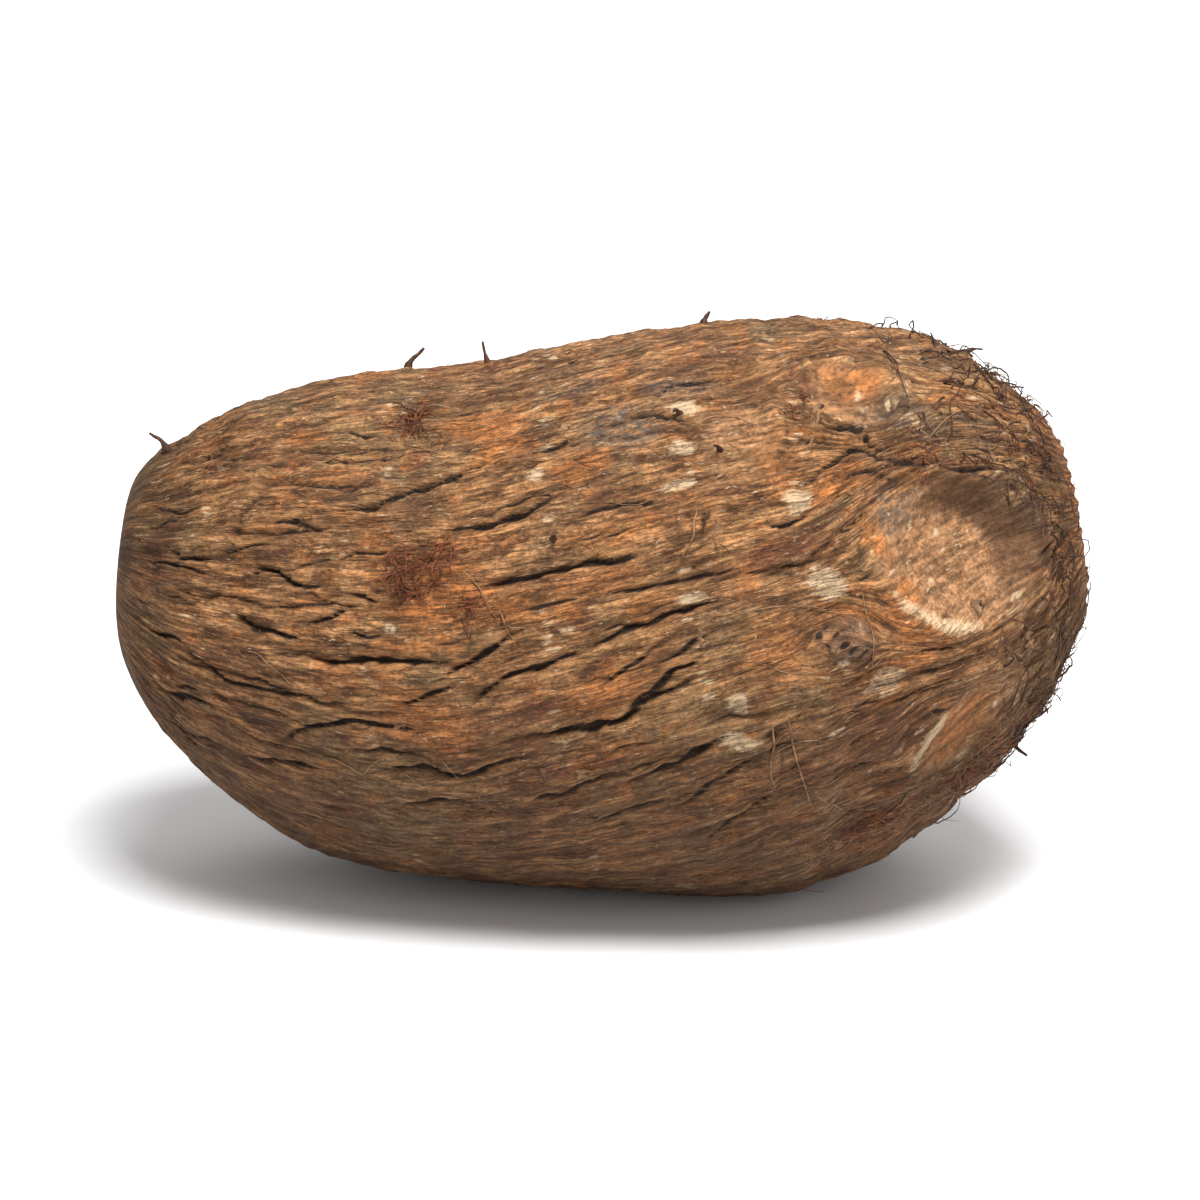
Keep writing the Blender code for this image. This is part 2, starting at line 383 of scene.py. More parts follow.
# Lines on the side that the picture shows, by kind: width and points
SEEN_LINES = {
    Mark.CRACK: (
        (1.1, ((23.6, 13.2), (28.4, 13.4), (31.6, 14.6), (37.3, 16.6), (41.8, 18.4), (44.8, 18.0))),
        (1.0, ((36.5, 10.4), (40.6, 11.0), (45.9, 12.2), (51.6, 14.4))),
        (0.8, ((17.8, 10.3), (20.5, 10.9), (23.4, 10.4))),
        (0.6, ((12.5, 5.8), (15.5, 7.0), (18.5, 7.5))),
        (0.7, ((25.9, 7.2), (28.8, 8.1), (32.7, 7.9))),
        (0.9, ((15.3, 3.6), (17.6, 4.8), (20.2, 3.8), (22.1, 3.2), (24.0, 4.4))),
        (0.7, ((26.3, 3.4), (28.4, 3.0), (30.4, 2.2))),
        (0.8, ((21.6, -0.8), (24.0, 0.4), (26.8, 2.0))),
        (0.9, ((13.4, -1.2), (16.4, -2.2), (18.9, -2.6), (22.0, -2.3))),
        (1.2, ((21.6, -4.4), (26.0, -4.5), (30.5, -4.2), (35.0, -4.5), (38.7, -4.2))),
        (1.0, ((37.0, -6.6), (41.1, -4.0), (43.8, -2.4), (46.5, -1.4))),
        (1.2, ((41.8, 3.8), (44.8, 4.8), (48.3, 5.1), (52.0, 6.2), (56.5, 6.4), (61.6, 7.1))),
        (0.8, ((32.4, -9.3), (36.0, -8.2), (39.1, -6.8))),
        (1.0, ((40.2, -9.8), (44.0, -6.8), (48.8, -5.2), (54.4, -3.5))),
        (0.7, ((7.8, -5.5), (11.6, -8.5), (14.9, -9.3), (19.2, -9.0), (23.5, -9.2))),
        (0.9, ((18.5, -15.8), (20.6, -13.4), (24.9, -11.6), (31.6, -11.6), (35.9, -12.8))),
        (0.7, ((14.4, -17.8), (19.2, -17.0), (24.9, -17.1))),
        (1.0, ((29.2, -17.3), (34.4, -16.4), (38.2, -17.5), (42.0, -17.1), (47.3, -14.6))),
        (1.2, ((45.8, -13.2), (51.0, -12.9), (56.8, -12.0), (60.4, -10.0), (66.5, -6.6))),
        (0.8, ((31.6, -21.1), (36.5, -20.3), (41.1, -20.6))),
        (0.8, ((47.0, -20.4), (52.0, -19.4), (57.7, -17.5))),
        (0.7, ((24.4, 22.1), (28.0, 21.6), (31.0, 21.7))),
        (0.8, ((23.0, 18.5), (27.0, 18.9), (33.5, 19.6))),
        (0.5, ((24.0, 15.8), (27.0, 16.2), (30.0, 16.0))),
        (0.7, ((36.3, 24.2), (39.0, 24.4), (43.1, 24.9))),
        (0.7, ((42.0, 27.5), (46.0, 28.8), (50.0, 29.2))),
        (0.7, ((46.7, 19.4), (49.5, 19.7), (53.0, 20.6))),
        (0.8, ((55.0, 2.0), (59.8, 3.4), (65.8, 4.0), (71.5, 5.2))),
        (1.1, ((53.6, -3.0), (57.0, -1.9), (61.0, -0.7), (64.8, 0.6), (69.4, 2.2))),
        (1.0, ((56.9, -11.6), (61.1, -8.9), (63.6, -6.6), (67.6, -4.2))),
        (1.0, ((58.6, -18.4), (62.0, -17.4), (65.4, -15.8), (70.6, -13.2))),
        (0.7, ((44.8, -26.2), (50.0, -25.8), (55.5, -26.5))),
        (0.7, ((52.0, 11.6), (57.0, 12.6), (63.0, 13.1))),
        (0.8, ((61.5, 24.6), (65.5, 26.4), (71.0, 26.8))),
        (0.7, ((63.6, -21.6), (68.5, -18.6), (74.0, -15.4))),
        (0.7, ((66.5, -25.6), (71.0, -22.8), (76.5, -18.8))),
        (0.6, ((52.0, -22.8), (58.0, -21.8), (64.0, -20.2))),
        (0.6, ((26.0, -14.2), (31.0, -14.4), (36.0, -15.2))),
        (0.6, ((61.0, -5.8), (64.5, -4.0), (68.0, -1.6))),
        (0.6, ((27.0, -0.8), (29.4, -1.6), (31.4, -1.4))),
        (0.6, ((46.0, 1.4), (50.0, 1.6), (54.0, 3.2))),
        (0.6, ((55.0, -7.6), (58.5, -5.4), (62.0, -3.0))),
        (0.6, ((51.0, 8.6), (55.5, 9.4), (60.0, 10.0))),
        (1.1, ((80.4, 20.8), (83.0, 20.4), (85.3, 19.9), (87.6, 18.0), (90.0, 17.2))),
        (0.9, ((73.4, 9.8), (77.0, 10.2), (79.6, 11.4))),
        (0.8, ((58.6, 22.4), (62.6, 22.6), (66.0, 21.2))),
        (1.0, ((77.4, 14.2), (81.5, 16.2), (83.4, 17.8), (85.3, 17.6), (88.0, 15.4), (90.4, 14.8))),
        (1.2, ((94.4, 13.9), (97.0, 13.3), (100.0, 12.2))),
    ),
    Mark.LEDGE: (
        (0.6, ((7.1, -4.6), (12.5, 5.3), (17.3, 14.2), (20.1, 21.0))),
        (0.8, ((84.0, 20.6), (80.9, 20.8), (79.4, 22.0), (77.4, 24.2), (75.0, 28.7))),
        (0.6, ((84.4, 21.8), (82.4, 21.6), (80.0, 23.1), (77.9, 26.6), (76.5, 30.2))),
        (0.5, ((84.6, 22.8), (82.6, 22.6), (80.9, 24.4), (79.4, 27.6), (78.8, 30.6))),
        (0.9, ((72.8, 3.6), (78.3, 5.8), (82.1, 8.5), (84.9, 11.5), (85.6, 16.1))),
        (0.8, ((78.1, -23.1), (75.2, -18.4), (74.6, -14.5), (76.2, -11.8), (80.0, -9.1))),
        (0.5, ((73.2, 13.2), (71.2, 16.4), (75.6, 18.6), (76.4, 23.0), (72.0, 25.6))),
        (0.6, ((64.2, 14.6), (67.4, 11.4), (67.0, 7.6), (64.0, 6.0))),
    ),
    Mark.RIDGE: (
        (1.0, ((79.2, 12.8), (84.2, 16.4), (91.1, 13.8), (97.0, 12.4), (102.6, 9.4), (106.4, 3.0))),
        (0.7, ((84.0, -23.2), (91.0, -20.4), (97.0, -17.6), (101.6, -12.8))),
    ),
}

# Patches there, by tint: x, v, half length and half width, then turn and strength
SEEN_PATCHES = {
    Tint.PALE: (
        (64.6, 23.5, 2.0, 1.5, -10.0),
        (64.6, 18.9, 1.7, 1.6),
        (64.0, 14.6, 2.6, 1.0, 12.0),
        (77.7, 12.7, 1.7, 1.7),
        (80.8, 2.9, 2.3, 2.1, -40.0),
        (66.1, 2.2, 2.0, 1.0, 15.0),
        (70.9, -10.1, 1.2, 1.6),
        (70.9, -14.0, 2.1, 1.6),
        (87.3, -8.9, 2.4, 1.6, 20.0, 0.8),
        (92.8, -16.0, 1.2, 4.6, -28.0),
        (48.0, 16.2, 1.3, 1.5),
        (31.6, -0.6, 1.3, 0.9),
        (34.4, -1.8, 3.0, 1.0, 0.0, 0.6),
        (49.6, 11.6, 1.2, 0.9, 10.0, 0.8),
        (49.0, 8.6, 1.2, 0.8, 10.0, 0.7),
        (98.6, 25.8, 2.4, 1.0, -35.0, 0.7),
        (94.0, 29.0, 2.0, 0.8, -15.0, 0.6),
        (84.0, 7.9, 2.2, 1.2, 40.0, 0.6),
    ),
    Tint.SMOOTH: (
        (70.7, 20.1, 4.0, 4.8, 20.0),
        (99.7, -12.0, 3.6, 5.6, 20.0, 0.8),
        (84.2, 25.4, 4.2, 4.0, 0.0, 0.6),
    ),
    Tint.WARM: (
        (84.0, 25.4, 4.0, 3.6, 10.0),
        (37.4, 3.0, 5.2, 4.4),
        (36.5, -12.2, 5.2, 3.0, 0.0, 0.8),
        (81.5, 14.0, 1.6, 3.4, -50.0),
        (86.2, 7.3, 1.2, 3.4, 35.0),
        (90.2, -2.4, 2.2, 4.6, 20.0),
        (96.0, -15.2, 2.6, 4.2, -30.0, 0.9),
        (21.8, 20.5, 2.4, 1.8),
        (25.8, 16.8, 2.8, 1.5, 0.0, 0.8),
        (41.8, 23.0, 4.5, 2.7, 0.0, 0.9),
        (39.9, 9.6, 3.4, 2.0, 10.0, 0.7),
        (34.0, -2.6, 3.4, 1.5, 0.0, 0.8),
        (44.6, 19.8, 3.0, 1.8, 10.0, 0.8),
        (57.0, -8.5, 4.6, 2.6, 20.0, 0.8),
        (55.0, 4.0, 4.0, 1.6, 10.0, 0.7),
        (48.0, 0.6, 4.0, 1.4, 10.0, 0.7),
        (56.3, -15.0, 4.6, 1.6, 15.0, 0.7),
        (35.4, -9.2, 4.0, 2.0, 0.0, 0.8),
        (75.6, 16.0, 2.0, 5.0, 20.0, 0.6),
        (74.8, -4.0, 3.0, 4.4, 10.0, 0.7),
        (52.5, 16.8, 3.4, 1.8, 15.0, 0.8),
        (57.5, 9.6, 5.0, 1.6, 12.0, 0.6),
    ),
    Tint.RED: (
        (34.2, 23.2, 2.2, 2.4),
        (34.4, 19.0, 0.9, 2.4, 0.0, 0.8),
        (33.2, 5.0, 1.6, 3.6, 15.0),
        (36.6, 6.8, 3.4, 1.2, 25.0),
        (41.0, 2.0, 1.0, 1.6),
        (76.0, 6.8, 5.0, 1.5, 10.0),
        (78.2, 26.0, 1.2, 4.6, 28.0),
        (48.5, -9.8, 3.6, 1.2, 15.0, 0.8),
        (53.0, -16.6, 5.0, 1.3, 15.0, 0.8),
        (83.5, -15.7, 7.0, 7.0, 0.0, 0.6),
        (5.2, 3.6, 2.0, 5.0, -10.0, 0.8),
        (105.6, 0.6, 1.0, 5.0),
        (92.0, 15.4, 6.0, 1.0, -8.0, 0.8),
    ),
    Tint.GREY: (
        (58.0, 21.4, 4.6, 3.4),
        (64.0, 25.8, 3.6, 1.4, 0.0, 0.9),
        (52.0, 26.0, 4.0, 2.2, 0.0, 0.5),
        (91.0, 21.0, 6.0, 3.2, -15.0, 0.65),
        (88.8, 10.2, 3.2, 2.6, -60.0, 0.7),
        (99.0, 17.6, 3.4, 3.4, -30.0, 0.5),
        (82.9, -4.1, 2.8, 2.6, 0.0, 0.6),
        (28.0, 16.0, 5.0, 3.4, 0.0, 0.3),
    ),
    # The first four are painted shadow under the big side scar's right rim; the others darken the skin
    # in patches.
    Tint.DARK: (
        (99.5, 9.2, 2.8, 1.1, -32.0),
        (103.4, 5.8, 1.5, 1.3, -50.0),
        (105.0, 1.0, 0.8, 2.8),
        (104.2, -3.0, 0.7, 1.8, -15.0, 0.8),
        (88.4, -23.2, 4.8, 1.8, 25.0),
        (1.2, 2.0, 1.0, 4.6),
        (4.0, 4.2, 1.2, 3.6, -15.0, 0.8),
        (36.0, -15.4, 3.6, 1.6, 0.0, 0.6),
    ),
}


def crosses_scar(along: Array, angles: Array, radius: Array, share: float) -> bool:
    """Returns whether any of the places lies within a share of a side scar's dish."""
    for scar in SIDE_SCARS:
        u = along - scar.along
        v = angle_between(angles, math.radians(scar.degrees)) * radius
        a, b = on_ellipse(u, v, scar.turn, scar.half_length, scar.half_width)
        if (np.hypot(a, b) < share).any():
            return True
    return False


@dataclass
class Marks:
    """Works out the relief and the colour masks of the skin over its grid of points."""

    form: Form
    rings: tuple[float, ...] = (4.5, 14.0, 32.5, 49.5, 64.0, 74.5, 82.5, 89.5, 95.5, 100.0)
    ring_wave: float = 0.9
    ring_slant: float = 2.6
    ring_bulge: float = 4.0
    ring_seed: int = 11
    twisted_from: float = 28.0
    twisted_to: float = 52.0
    twist_low: float = 0.34
    twist_fall: float = 0.24
    grain_radius: float = 30.0
    lines_per_ring: int = 40
    line_seed: int = 23
    crack_depth: float = 0.95
    crack_width: float = 0.33
    crack_reach: float = 4.5
    dish_slope: float = 0.25
    steep_slope: float = 0.5
    scar_rim: tuple[float, float] = (1.05, 0.17)
    scar_crescent: tuple[float, float] = (0.94, 0.14)
    warp: float = 0.60
    bark_height: float = 0.40
    fibre_height: float = 0.16
    pit_height: float = 0.10
    stub_collar: float = 0.4
    # how dark the base end, the painted shade underneath and the painted shadow under an overhanging rim
    # are
    base_shade: float = 0.62
    under_shade: float = 0.75
    overhang_shade: float = 0.9
    front_fading: float = 0.38
    hidden_patches: int = 98
    patch_seed: int = 71
    stub_sites: list[tuple[float, float]] = field(default_factory=list)

    def twist(self, along: Array, angles: Array) -> Array:
        """Returns how far the grain has turned round the body at each point."""
        run = np.where(
            along < self.twisted_to,
            0.5 * fade(along, self.twisted_from, self.twisted_to) * (along - self.twisted_from),
            along - (self.twisted_from + self.twisted_to) / 2,
        )
        slope = self.twist_low - self.twist_fall * np.sin(angles)
        return slope * np.clip(run, 0, None) / self.grain_radius

    def angles_on_grain(self, along: Array, grain: Array) -> Array:
        """Returns the true angles of points whose angle is counted along the grain."""
        angles = grain
        for _ in range(14):
            angles = grain + self.twist(along, angles)
        return angles

    def grain_angle(self, along: Array, angles: Array) -> Array:
        """Returns the angle as the grain sees it, twisted and led round the scars."""
        led = np.zeros_like(angles)
        for scar in SIDE_SCARS:
            radius = (scar.half_length + scar.half_width) / 2
            led += self.led_round(along, angles, scar.along, scar.degrees, radius, radius * 1.9)
        for bud in BUDS:
            led += self.led_round(along, angles, bud.along, bud.degrees, bud.size, bud.size * 2.6)
        return angles - self.twist(along, angles) - led

    def led_round(
        self, along: Array, angles: Array, place: float, degrees: float, radius: float, reach: float
    ) -> Array:
        """Returns how far the grain is pushed aside round one obstacle, as an angle."""
        scale = self.form.radius_at(along)
        u = along - place
        v = angle_between(angles, math.radians(degrees)) * scale
        distance = np.hypot(u, v)
        share = radius**2 / np.maximum(distance, radius) ** 2 * (1 - fade(distance, radius, reach))
        return 0.8 * v * share / scale

    def ring_offsets(self, along: Array, angles: Array, ragged: Array) -> list[Array]:
        """Returns, for each leaf-scar ring, how far each point is past it to the crown."""
        draw = random.Random(self.ring_seed)
        slanted = fade(along, self.twisted_from, self.twisted_to)
        offsets = []
        for place in self.rings:
            phase, second_phase = draw.uniform(0, FULL_TURN), draw.uniform(0, FULL_TURN)
            wave = np.sin(angles + phase) + 0.5 * np.sin(3 * angles + second_phase)
            slant = self.ring_slant * slanted * np.sin(angles)
            bulge = self.ring_bulge * (1 - slanted) * np.clip(np.cos(angles - 0.35), 0, 1) ** 2
            bulge = bulge * float(fade(place, 8.0, 14.0))
            offsets.append(along - place + slant + bulge - self.ring_wave * wave - 0.9 * ragged)
        return offsets

    def ring_relief(
        self, along: Array, angles: Array, grained: Array, ragged: Array
    ) -> tuple[Array, Array]:
        """Returns the height of the rings' ledges, and how far each point is past its nearest ring."""
        nearest, rings = np.full_like(along, 9.0), np.zeros_like(along)
        broken = 0.5 + 0.5 * np.clip(2.0 * RING_BREAKS.over(grained), -1, 1)
        layered = 0.16 + 0.3 * fade(along, 66.0, 84.0)
        for offset in self.ring_offsets(along, angles, ragged):
            nearest = np.where(np.abs(offset) < np.abs(nearest), offset, nearest)
            ledge = bell(offset, -1.0, 1.3) - bell(offset, 1.2, 1.2)
            step = (1 - fade(offset, -0.25, 0.35)) * bell(offset, 0, 2.4)
            rings += layered * (0.35 + 0.65 * broken) * (0.6 * ledge + 0.5 * step)
        return rings, nearest

    def in_front(self, along: Array, angles: Array) -> Array:
        """Returns 1 on the side that the picture shows, where the drawn lines are fainter."""
        front = fade(np.cos(angle_between(angles, math.radians(18.0))), 0.1, 0.55)
        return front * (1 - 0.6 * fade(along, 70.0, 78.0)) * fade(along, 8.0, 14.0)

    def drawn_lines(self) -> list[Line]:
        """Returns cracks drawn by rule all round the body, along the grain."""
        draw = random.Random(self.line_seed)
        lines = []
        for lower, upper in zip(self.rings[:-1], self.rings[1:]):
            span = upper - lower
            radius = float(self.form.radius_at(lower))
            for k in range(self.lines_per_ring):
                angle = (k + draw.uniform(-0.45, 0.45)) * 2 * math.pi / self.lines_per_ring
                start = lower + span * draw.uniform(-0.35, 0.45)
                end = max(start + 4.0, upper + span * draw.uniform(-0.6, 0.3))
                width = draw.uniform(0.3, 0.95)
                bends = [draw.uniform(-0.9, 0.9) for _ in range(4)]
                along = np.linspace(start, end, 4)
                angles = angle + np.array(bends) / radius
                lines.append(Line(Mark.CRACK, width, along, angles))
        return lines

    def seen_lines(self) -> list[Line]:
        """Returns the lines that the picture shows, at their places."""
        lines = []
        for kind, drawn in SEEN_LINES.items():
            for width, points in drawn:
                path = smooth_path(points, 2 * len(points) + 1)
                places = np.array([self.form.seen(x, v) for x, v in path])
                lines.append(Line(kind, width, places[:, 0], places[:, 1]))
        return lines

    def draw_lines(
        self, lines: list[Line], along: Array, angles: Array, radius: Array, bent: tuple[Array, Array]
    ) -> dict[str, Array]:
        """Cuts or raises lines on the grid.

        Args:
            lines: The lines, in order.
            along: Place of each grid point along the body.
            angles: Angle of each grid point, as the lines count it.
            radius: Radius of the body at each grid point.
            bent: Small offsets along and across, which make the lines waver.

        Returns:
            The height that the lines add, and masks of the cracks' bottoms and their lips; the lips'
            mask is a painted highlight in the skin's colour.
        """
        deep, swell = np.zeros_like(along), np.zeros_like(along)
        steps, crack, lip = np.zeros_like(along), np.zeros_like(along), np.zeros_like(along)
        row_place = along[:, 0]
        for line in lines:
            low, high = line.along.min() - self.crack_reach, line.along.max() + self.crack_reach
            rows = np.flatnonzero((row_place > low) & (row_place < high))
            if not len(rows):
                continue
            rows = slice(rows[0], rows[-1] + 1)
            middle = float(np.mean(line.angles))
            reach = float(np.ptp(line.angles)) / 2 + 5.0 / float(radius[rows].min())
            near = np.flatnonzero((np.abs(angle_between(angles[rows], middle)) < reach).any(axis=0))
            if not len(near):
                continue
            window = np.ix_(range(rows.start, rows.stop), near)
            waver = 2.2 if line.kind is Mark.LEDGE else 1.0
            s = along[window] + waver * bent[0][window]
            t = angles[window] + waver * bent[1][window] / radius[window]
            distance, share = self.distance_to(line, s, t, radius[window])
            away = np.abs(distance)
            taper = np.clip(4 * share * (1 - share), 0, 1) ** 0.55
            vary = 0.85 + 0.35 * np.sin(2.1 * s + 9.0 * line.width)
            width = self.crack_width * line.width * (0.5 + 0.5 * taper) * vary
            core = taper * np.exp(-((away / width) ** 2))
            if line.kind is Mark.CRACK:
                size = self.crack_depth * line.width
                deep[window] = np.minimum(deep[window], -size * core)
                swell[window] -= 0.34 * line.width * taper * bell(away, 0, 1.7)
                # the lip beside a crack is raised a little and is painted lighter, a painted highlight
                lip[window] = np.maximum(lip[window], taper * bell(away, 2.4 * width, width))
                mask = taper * bell(away, 0, np.maximum(1.15 * width, 0.27))
                crack[window] = np.maximum(crack[window], mask * min(1.0, 0.55 + 0.5 * line.width))
            elif line.kind is Mark.LEDGE:
                step = fade(distance, -0.35, 0.35) * bell(away, 0, 3.2)
                steps[window] += 0.9 * line.width * taper * step
                crack[window] = np.maximum(crack[window], 0.55 * taper * bell(distance, -0.2, 0.38))
                # the strip above a ledge's step is painted lighter, a painted highlight
                lip[window] = np.maximum(lip[window], 0.7 * taper * bell(distance, 0.7, 0.5))
            else:
                # A ridge stands up, with painted shade in a dark band on both sides of it.
                steps[window] += 1.1 * line.width * taper * bell(away, 0, 0.9)
                crack[window] = np.maximum(crack[window], 0.7 * taper * bell(away, 1.3, 0.5))
        height = np.minimum(deep, 0) + np.maximum(swell, -0.6) + steps + 0.14 * lip * (1 - crack)
        return {"height": height, "crack": crack, "lip": lip}

    def distance_to(self, line: Line, s: Array, t: Array, radius: Array) -> tuple[Array, Array]:
        """Returns each point's signed distance to a line, and its share of the way along it."""
        best, share = np.full_like(s, 99.0), np.zeros_like(s)
        count = len(line.along) - 1
        for k in range(count):
            u = s - line.along[k]
            v = angle_between(t, line.angles[k]) * radius
            run = line.along[k + 1] - line.along[k]
            rise = float(angle_between(line.angles[k + 1], line.angles[k])) * radius
            square = np.maximum(run * run + rise * rise, 1e-9)
            h = np.clip((u * run + v * rise) / square, 0, 1)
            distance = np.hypot(u - h * run, v - h * rise)
            side = np.sign(run * v - rise * u)
            closer = distance < np.abs(best)
            best = np.where(closer, np.where(side < 0, -distance, distance), best)
            share = np.where(closer, (k + h) / count, share)
        return best, share

    def scars(self, along: Array, angles: Array, scale: Array, ragged: Array) -> dict[str, Array]:
        """Returns the height of the scars and buds, masks of their dishes and rims, and a painted shadow
        under overhanging rims.
        """
        height, kept = np.zeros_like(along), np.ones_like(along)
        dish, crescent, shadow = (np.zeros_like(along) for _ in range(3))
        for scar in SIDE_SCARS:
            u = along - scar.along
            v = angle_between(angles, math.radians(scar.degrees)) * scale
            a, b = on_ellipse(u, v, scar.turn, scar.half_length, scar.half_width)
            q = np.hypot(a, b) + 0.05 * ragged
            aim = np.arctan2(v, u)
            lip, slope = scar.lip, self.dish_slope
            # The dish under an overhanging rim gets a painted shadow in the shadow mask.
            if scar.overhang is not None:
                facing = fade(np.cos(aim - math.radians(scar.overhang)), -0.1, 0.8)
                lip, slope = scar.lip * (0.35 + 0.95 * facing), slope + self.steep_slope * facing
                inside = fade(q, 0.6, 0.82) * (1 - fade(q, 0.92, 1.04))
                shadow = np.maximum(shadow, facing * inside)
            floor = 1 - fade((q - slope) / (1 - slope), 0, 1)
            height += lip * bell(q, *self.scar_rim) - scar.depth * floor
            kept *= 1 - 0.88 * scar.bare * (1 - fade(q, 0.86, 1.12))
            dish = np.maximum(dish, scar.bare * (1 - fade(q, 0.84, 1.0)))
            if scar.crescent is not None:
                side = np.cos(aim - math.radians(scar.crescent))
                rim = bell(q, *self.scar_crescent) * fade(side, 0.5, 0.95)
                crescent = np.maximum(crescent, rim)
        bud_mask, bud_lines = np.zeros_like(along), np.zeros_like(along)
        for bud in BUDS:
            v = angle_between(angles, math.radians(bud.degrees)) * scale
            q = np.hypot(along - bud.along, v) / bud.size + 0.1 * ragged
            height += bud.rise * (bell(q, 0, 0.7) - 0.5 * bell(q, 1.3, 0.35))
            wrinkles = 1.3 * bell(q, 0.1, 0.16) + bell(q, 0.56, 0.08) + 0.9 * bell(q, 0.92, 0.1)
            broken = 0.55 + 0.45 * np.sin(2 * np.arctan2(v, along - bud.along) + 2.0 * bud.along)
            height -= 0.3 * wrinkles * broken
            bud_lines = np.maximum(bud_lines, 0.76 * wrinkles * broken)
            bud_mask = np.maximum(bud_mask, 1 - fade(q, 0.4, 1.05))
            kept *= 0.25 + 0.75 * fade(q, 1.0, 1.6)
        return {
            "height": height,
            "kept": kept,
            "dish": dish,
            "crescent": crescent,
            "shadow": shadow,
            "bud": bud_mask,
            "bud_lines": bud_lines,
        }

    def patches(self, along: Array, angles: Array, scale: Array, ragged: Array) -> dict[str, Array]:
        """Returns one mask for each tint, from the seen patches and drawn ones behind."""
        masks = {tint.value: np.zeros_like(along) for tint in Tint}
        spots = []
        for tint, rows in SEEN_PATCHES.items():
            for x, v, half_length, half_width, *turned in rows:
                patch = Patch(half_length, half_width, tint, *turned)
                spots.append((*self.form.seen(x, v), patch))
        draw = random.Random(self.patch_seed)
        tints = [Tint.PALE, Tint.WARM, Tint.RED, Tint.PALE, Tint.WARM, Tint.SMOOTH, Tint.GREY]
        for k in range(self.hidden_patches):
            tint = tints[k % len(tints)]
            place = draw.uniform(6.0, 100.0)
            angle = math.radians(draw.uniform(100.0, 310.0))
            size = draw.uniform(0.8, 2.2) if tint is Tint.PALE else draw.uniform(1.8, 4.2)
            ratio, turn = draw.uniform(0.5, 1.2), draw.uniform(-30, 30)
            patch = Patch(size, size * ratio, tint, turn, draw.uniform(0.5, 1.0))
            spots.append((place, angle, patch))
        for place, angle, patch in spots:
            u = along - place
            v = angle_between(angles, angle) * scale
            a, b = on_ellipse(u, v, patch.turn, patch.half_length, patch.half_width)
            q = np.hypot(a, b) + 0.45 * ragged
            name = patch.tint.value
            masks[name] = np.maximum(masks[name], patch.strength * (1 - fade(q, 0.5, 1.35)))
        return masks

    def waver(self, points: Array, seed: float) -> Array:
        """Returns slow offsets with quick ones on them, which make a line waver."""
        slow, quick = Weave((3.0, 3.0, 3.0), seed), Weave((1.3, 1.3, 1.3), seed + 1)
        return self.warp * (slow.over(points) + 0.35 * quick.over(points))

    def relief(self, along: Array, radius: Array, angles: Array, on_crown: Array) -> dict[str, Array]:
        """Works out everything about the skin over its grid.

        Args:
            along: Place of each grid point along the straight body.
            radius: Its distance from the axis.
            angles: Its angle.
            on_crown: 1 on the crown's face and 0 on the side of the body.

        Returns:
            The height of the skin, the grain's coordinates and the colour masks, by name; the dark mask
            holds painted shade and the lip mask a painted highlight.
        """
        scale = self.form.radius_at(along)
        grain = self.grain_angle(along, angles)
        grained = np.stack(
            [along, self.grain_radius * np.cos(grain), self.grain_radius * np.sin(grain)], axis=-1
        )
        solid = np.stack([along, radius * np.cos(angles), radius * np.sin(angles)], axis=-1)
        ragged = RAGGED_EDGES.over(grained)
        bent = (self.waver(solid, 6.0), self.waver(solid, 8.0))
        scars = self.scars(along, angles, scale, ragged)
        patches = self.patches(along, angles, scale, ragged)
        side = (1 - on_crown) * fade(along, 0.8, 5.0)
        smooth = np.maximum(scars["dish"], 0.8 * patches["smooth"])
        rough = side * scars["kept"] * (1 - 0.8 * patches["smooth"])

        rings, nearest = self.ring_relief(along, angles, grained, ragged)
        drawn = self.draw_lines(self.drawn_lines(), along, grain, scale, bent)
        seen = self.draw_lines(self.seen_lines(), along, angles, scale, bent)
        share = 1 - self.front_fading * self.in_front(along, angles)
        lines = share * drawn["height"] + seen["height"]
        crack = np.maximum(share * drawn["crack"], seen["crack"])
        lip = np.maximum(share * drawn["lip"], seen["lip"])

        bark, fibres, pits = BARK.over(grained), FINE_FIBRES.over(grained), PITS.over(solid)
        swell = self.form.swells(along, radius, angles)
        height = swell + scars["height"] * fade(radius, 2.0, 9.0) * (1 - on_crown)
        fine = self.bark_height * bark + self.fibre_height * fibres + self.pit_height * pits
        height += rough * (rings + lines + fine)
        height += 0.06 * side * pits
        underneath = bell(angle_between(angles, -math.pi / 2) * radius, 0, 9.0)
        flat = underneath * fade(along, 30.0, 40.0) * (1 - fade(along, 78.0, 88.0))
        height = np.where(flat > 0, (1 - flat) * height + flat * swell, height)
        for place, angle in self.stub_sites:
            v = angle_between(angles, angle) * scale
            height += self.stub_collar * bell(np.hypot(along - place, v), 0, 1.1) * (1 - on_crown)
        height += on_crown * self.crown_relief(radius, angles)

        # Painted shade: darker towards the base end, painted shade underneath and painted shadow under
        # the scars' overhanging rims, on top of the dark patches.
        at_base = (1 - fade(along, 1.0, 12.0)) * (1 - on_crown)
        below = fade(-np.sin(angles - 0.2), -0.05, 0.8)
        dark = np.maximum(patches["dark"], self.base_shade * at_base)
        dark = np.maximum(dark, self.under_shade * below)
        dark = np.maximum(dark, self.overhang_shade * scars["shadow"])
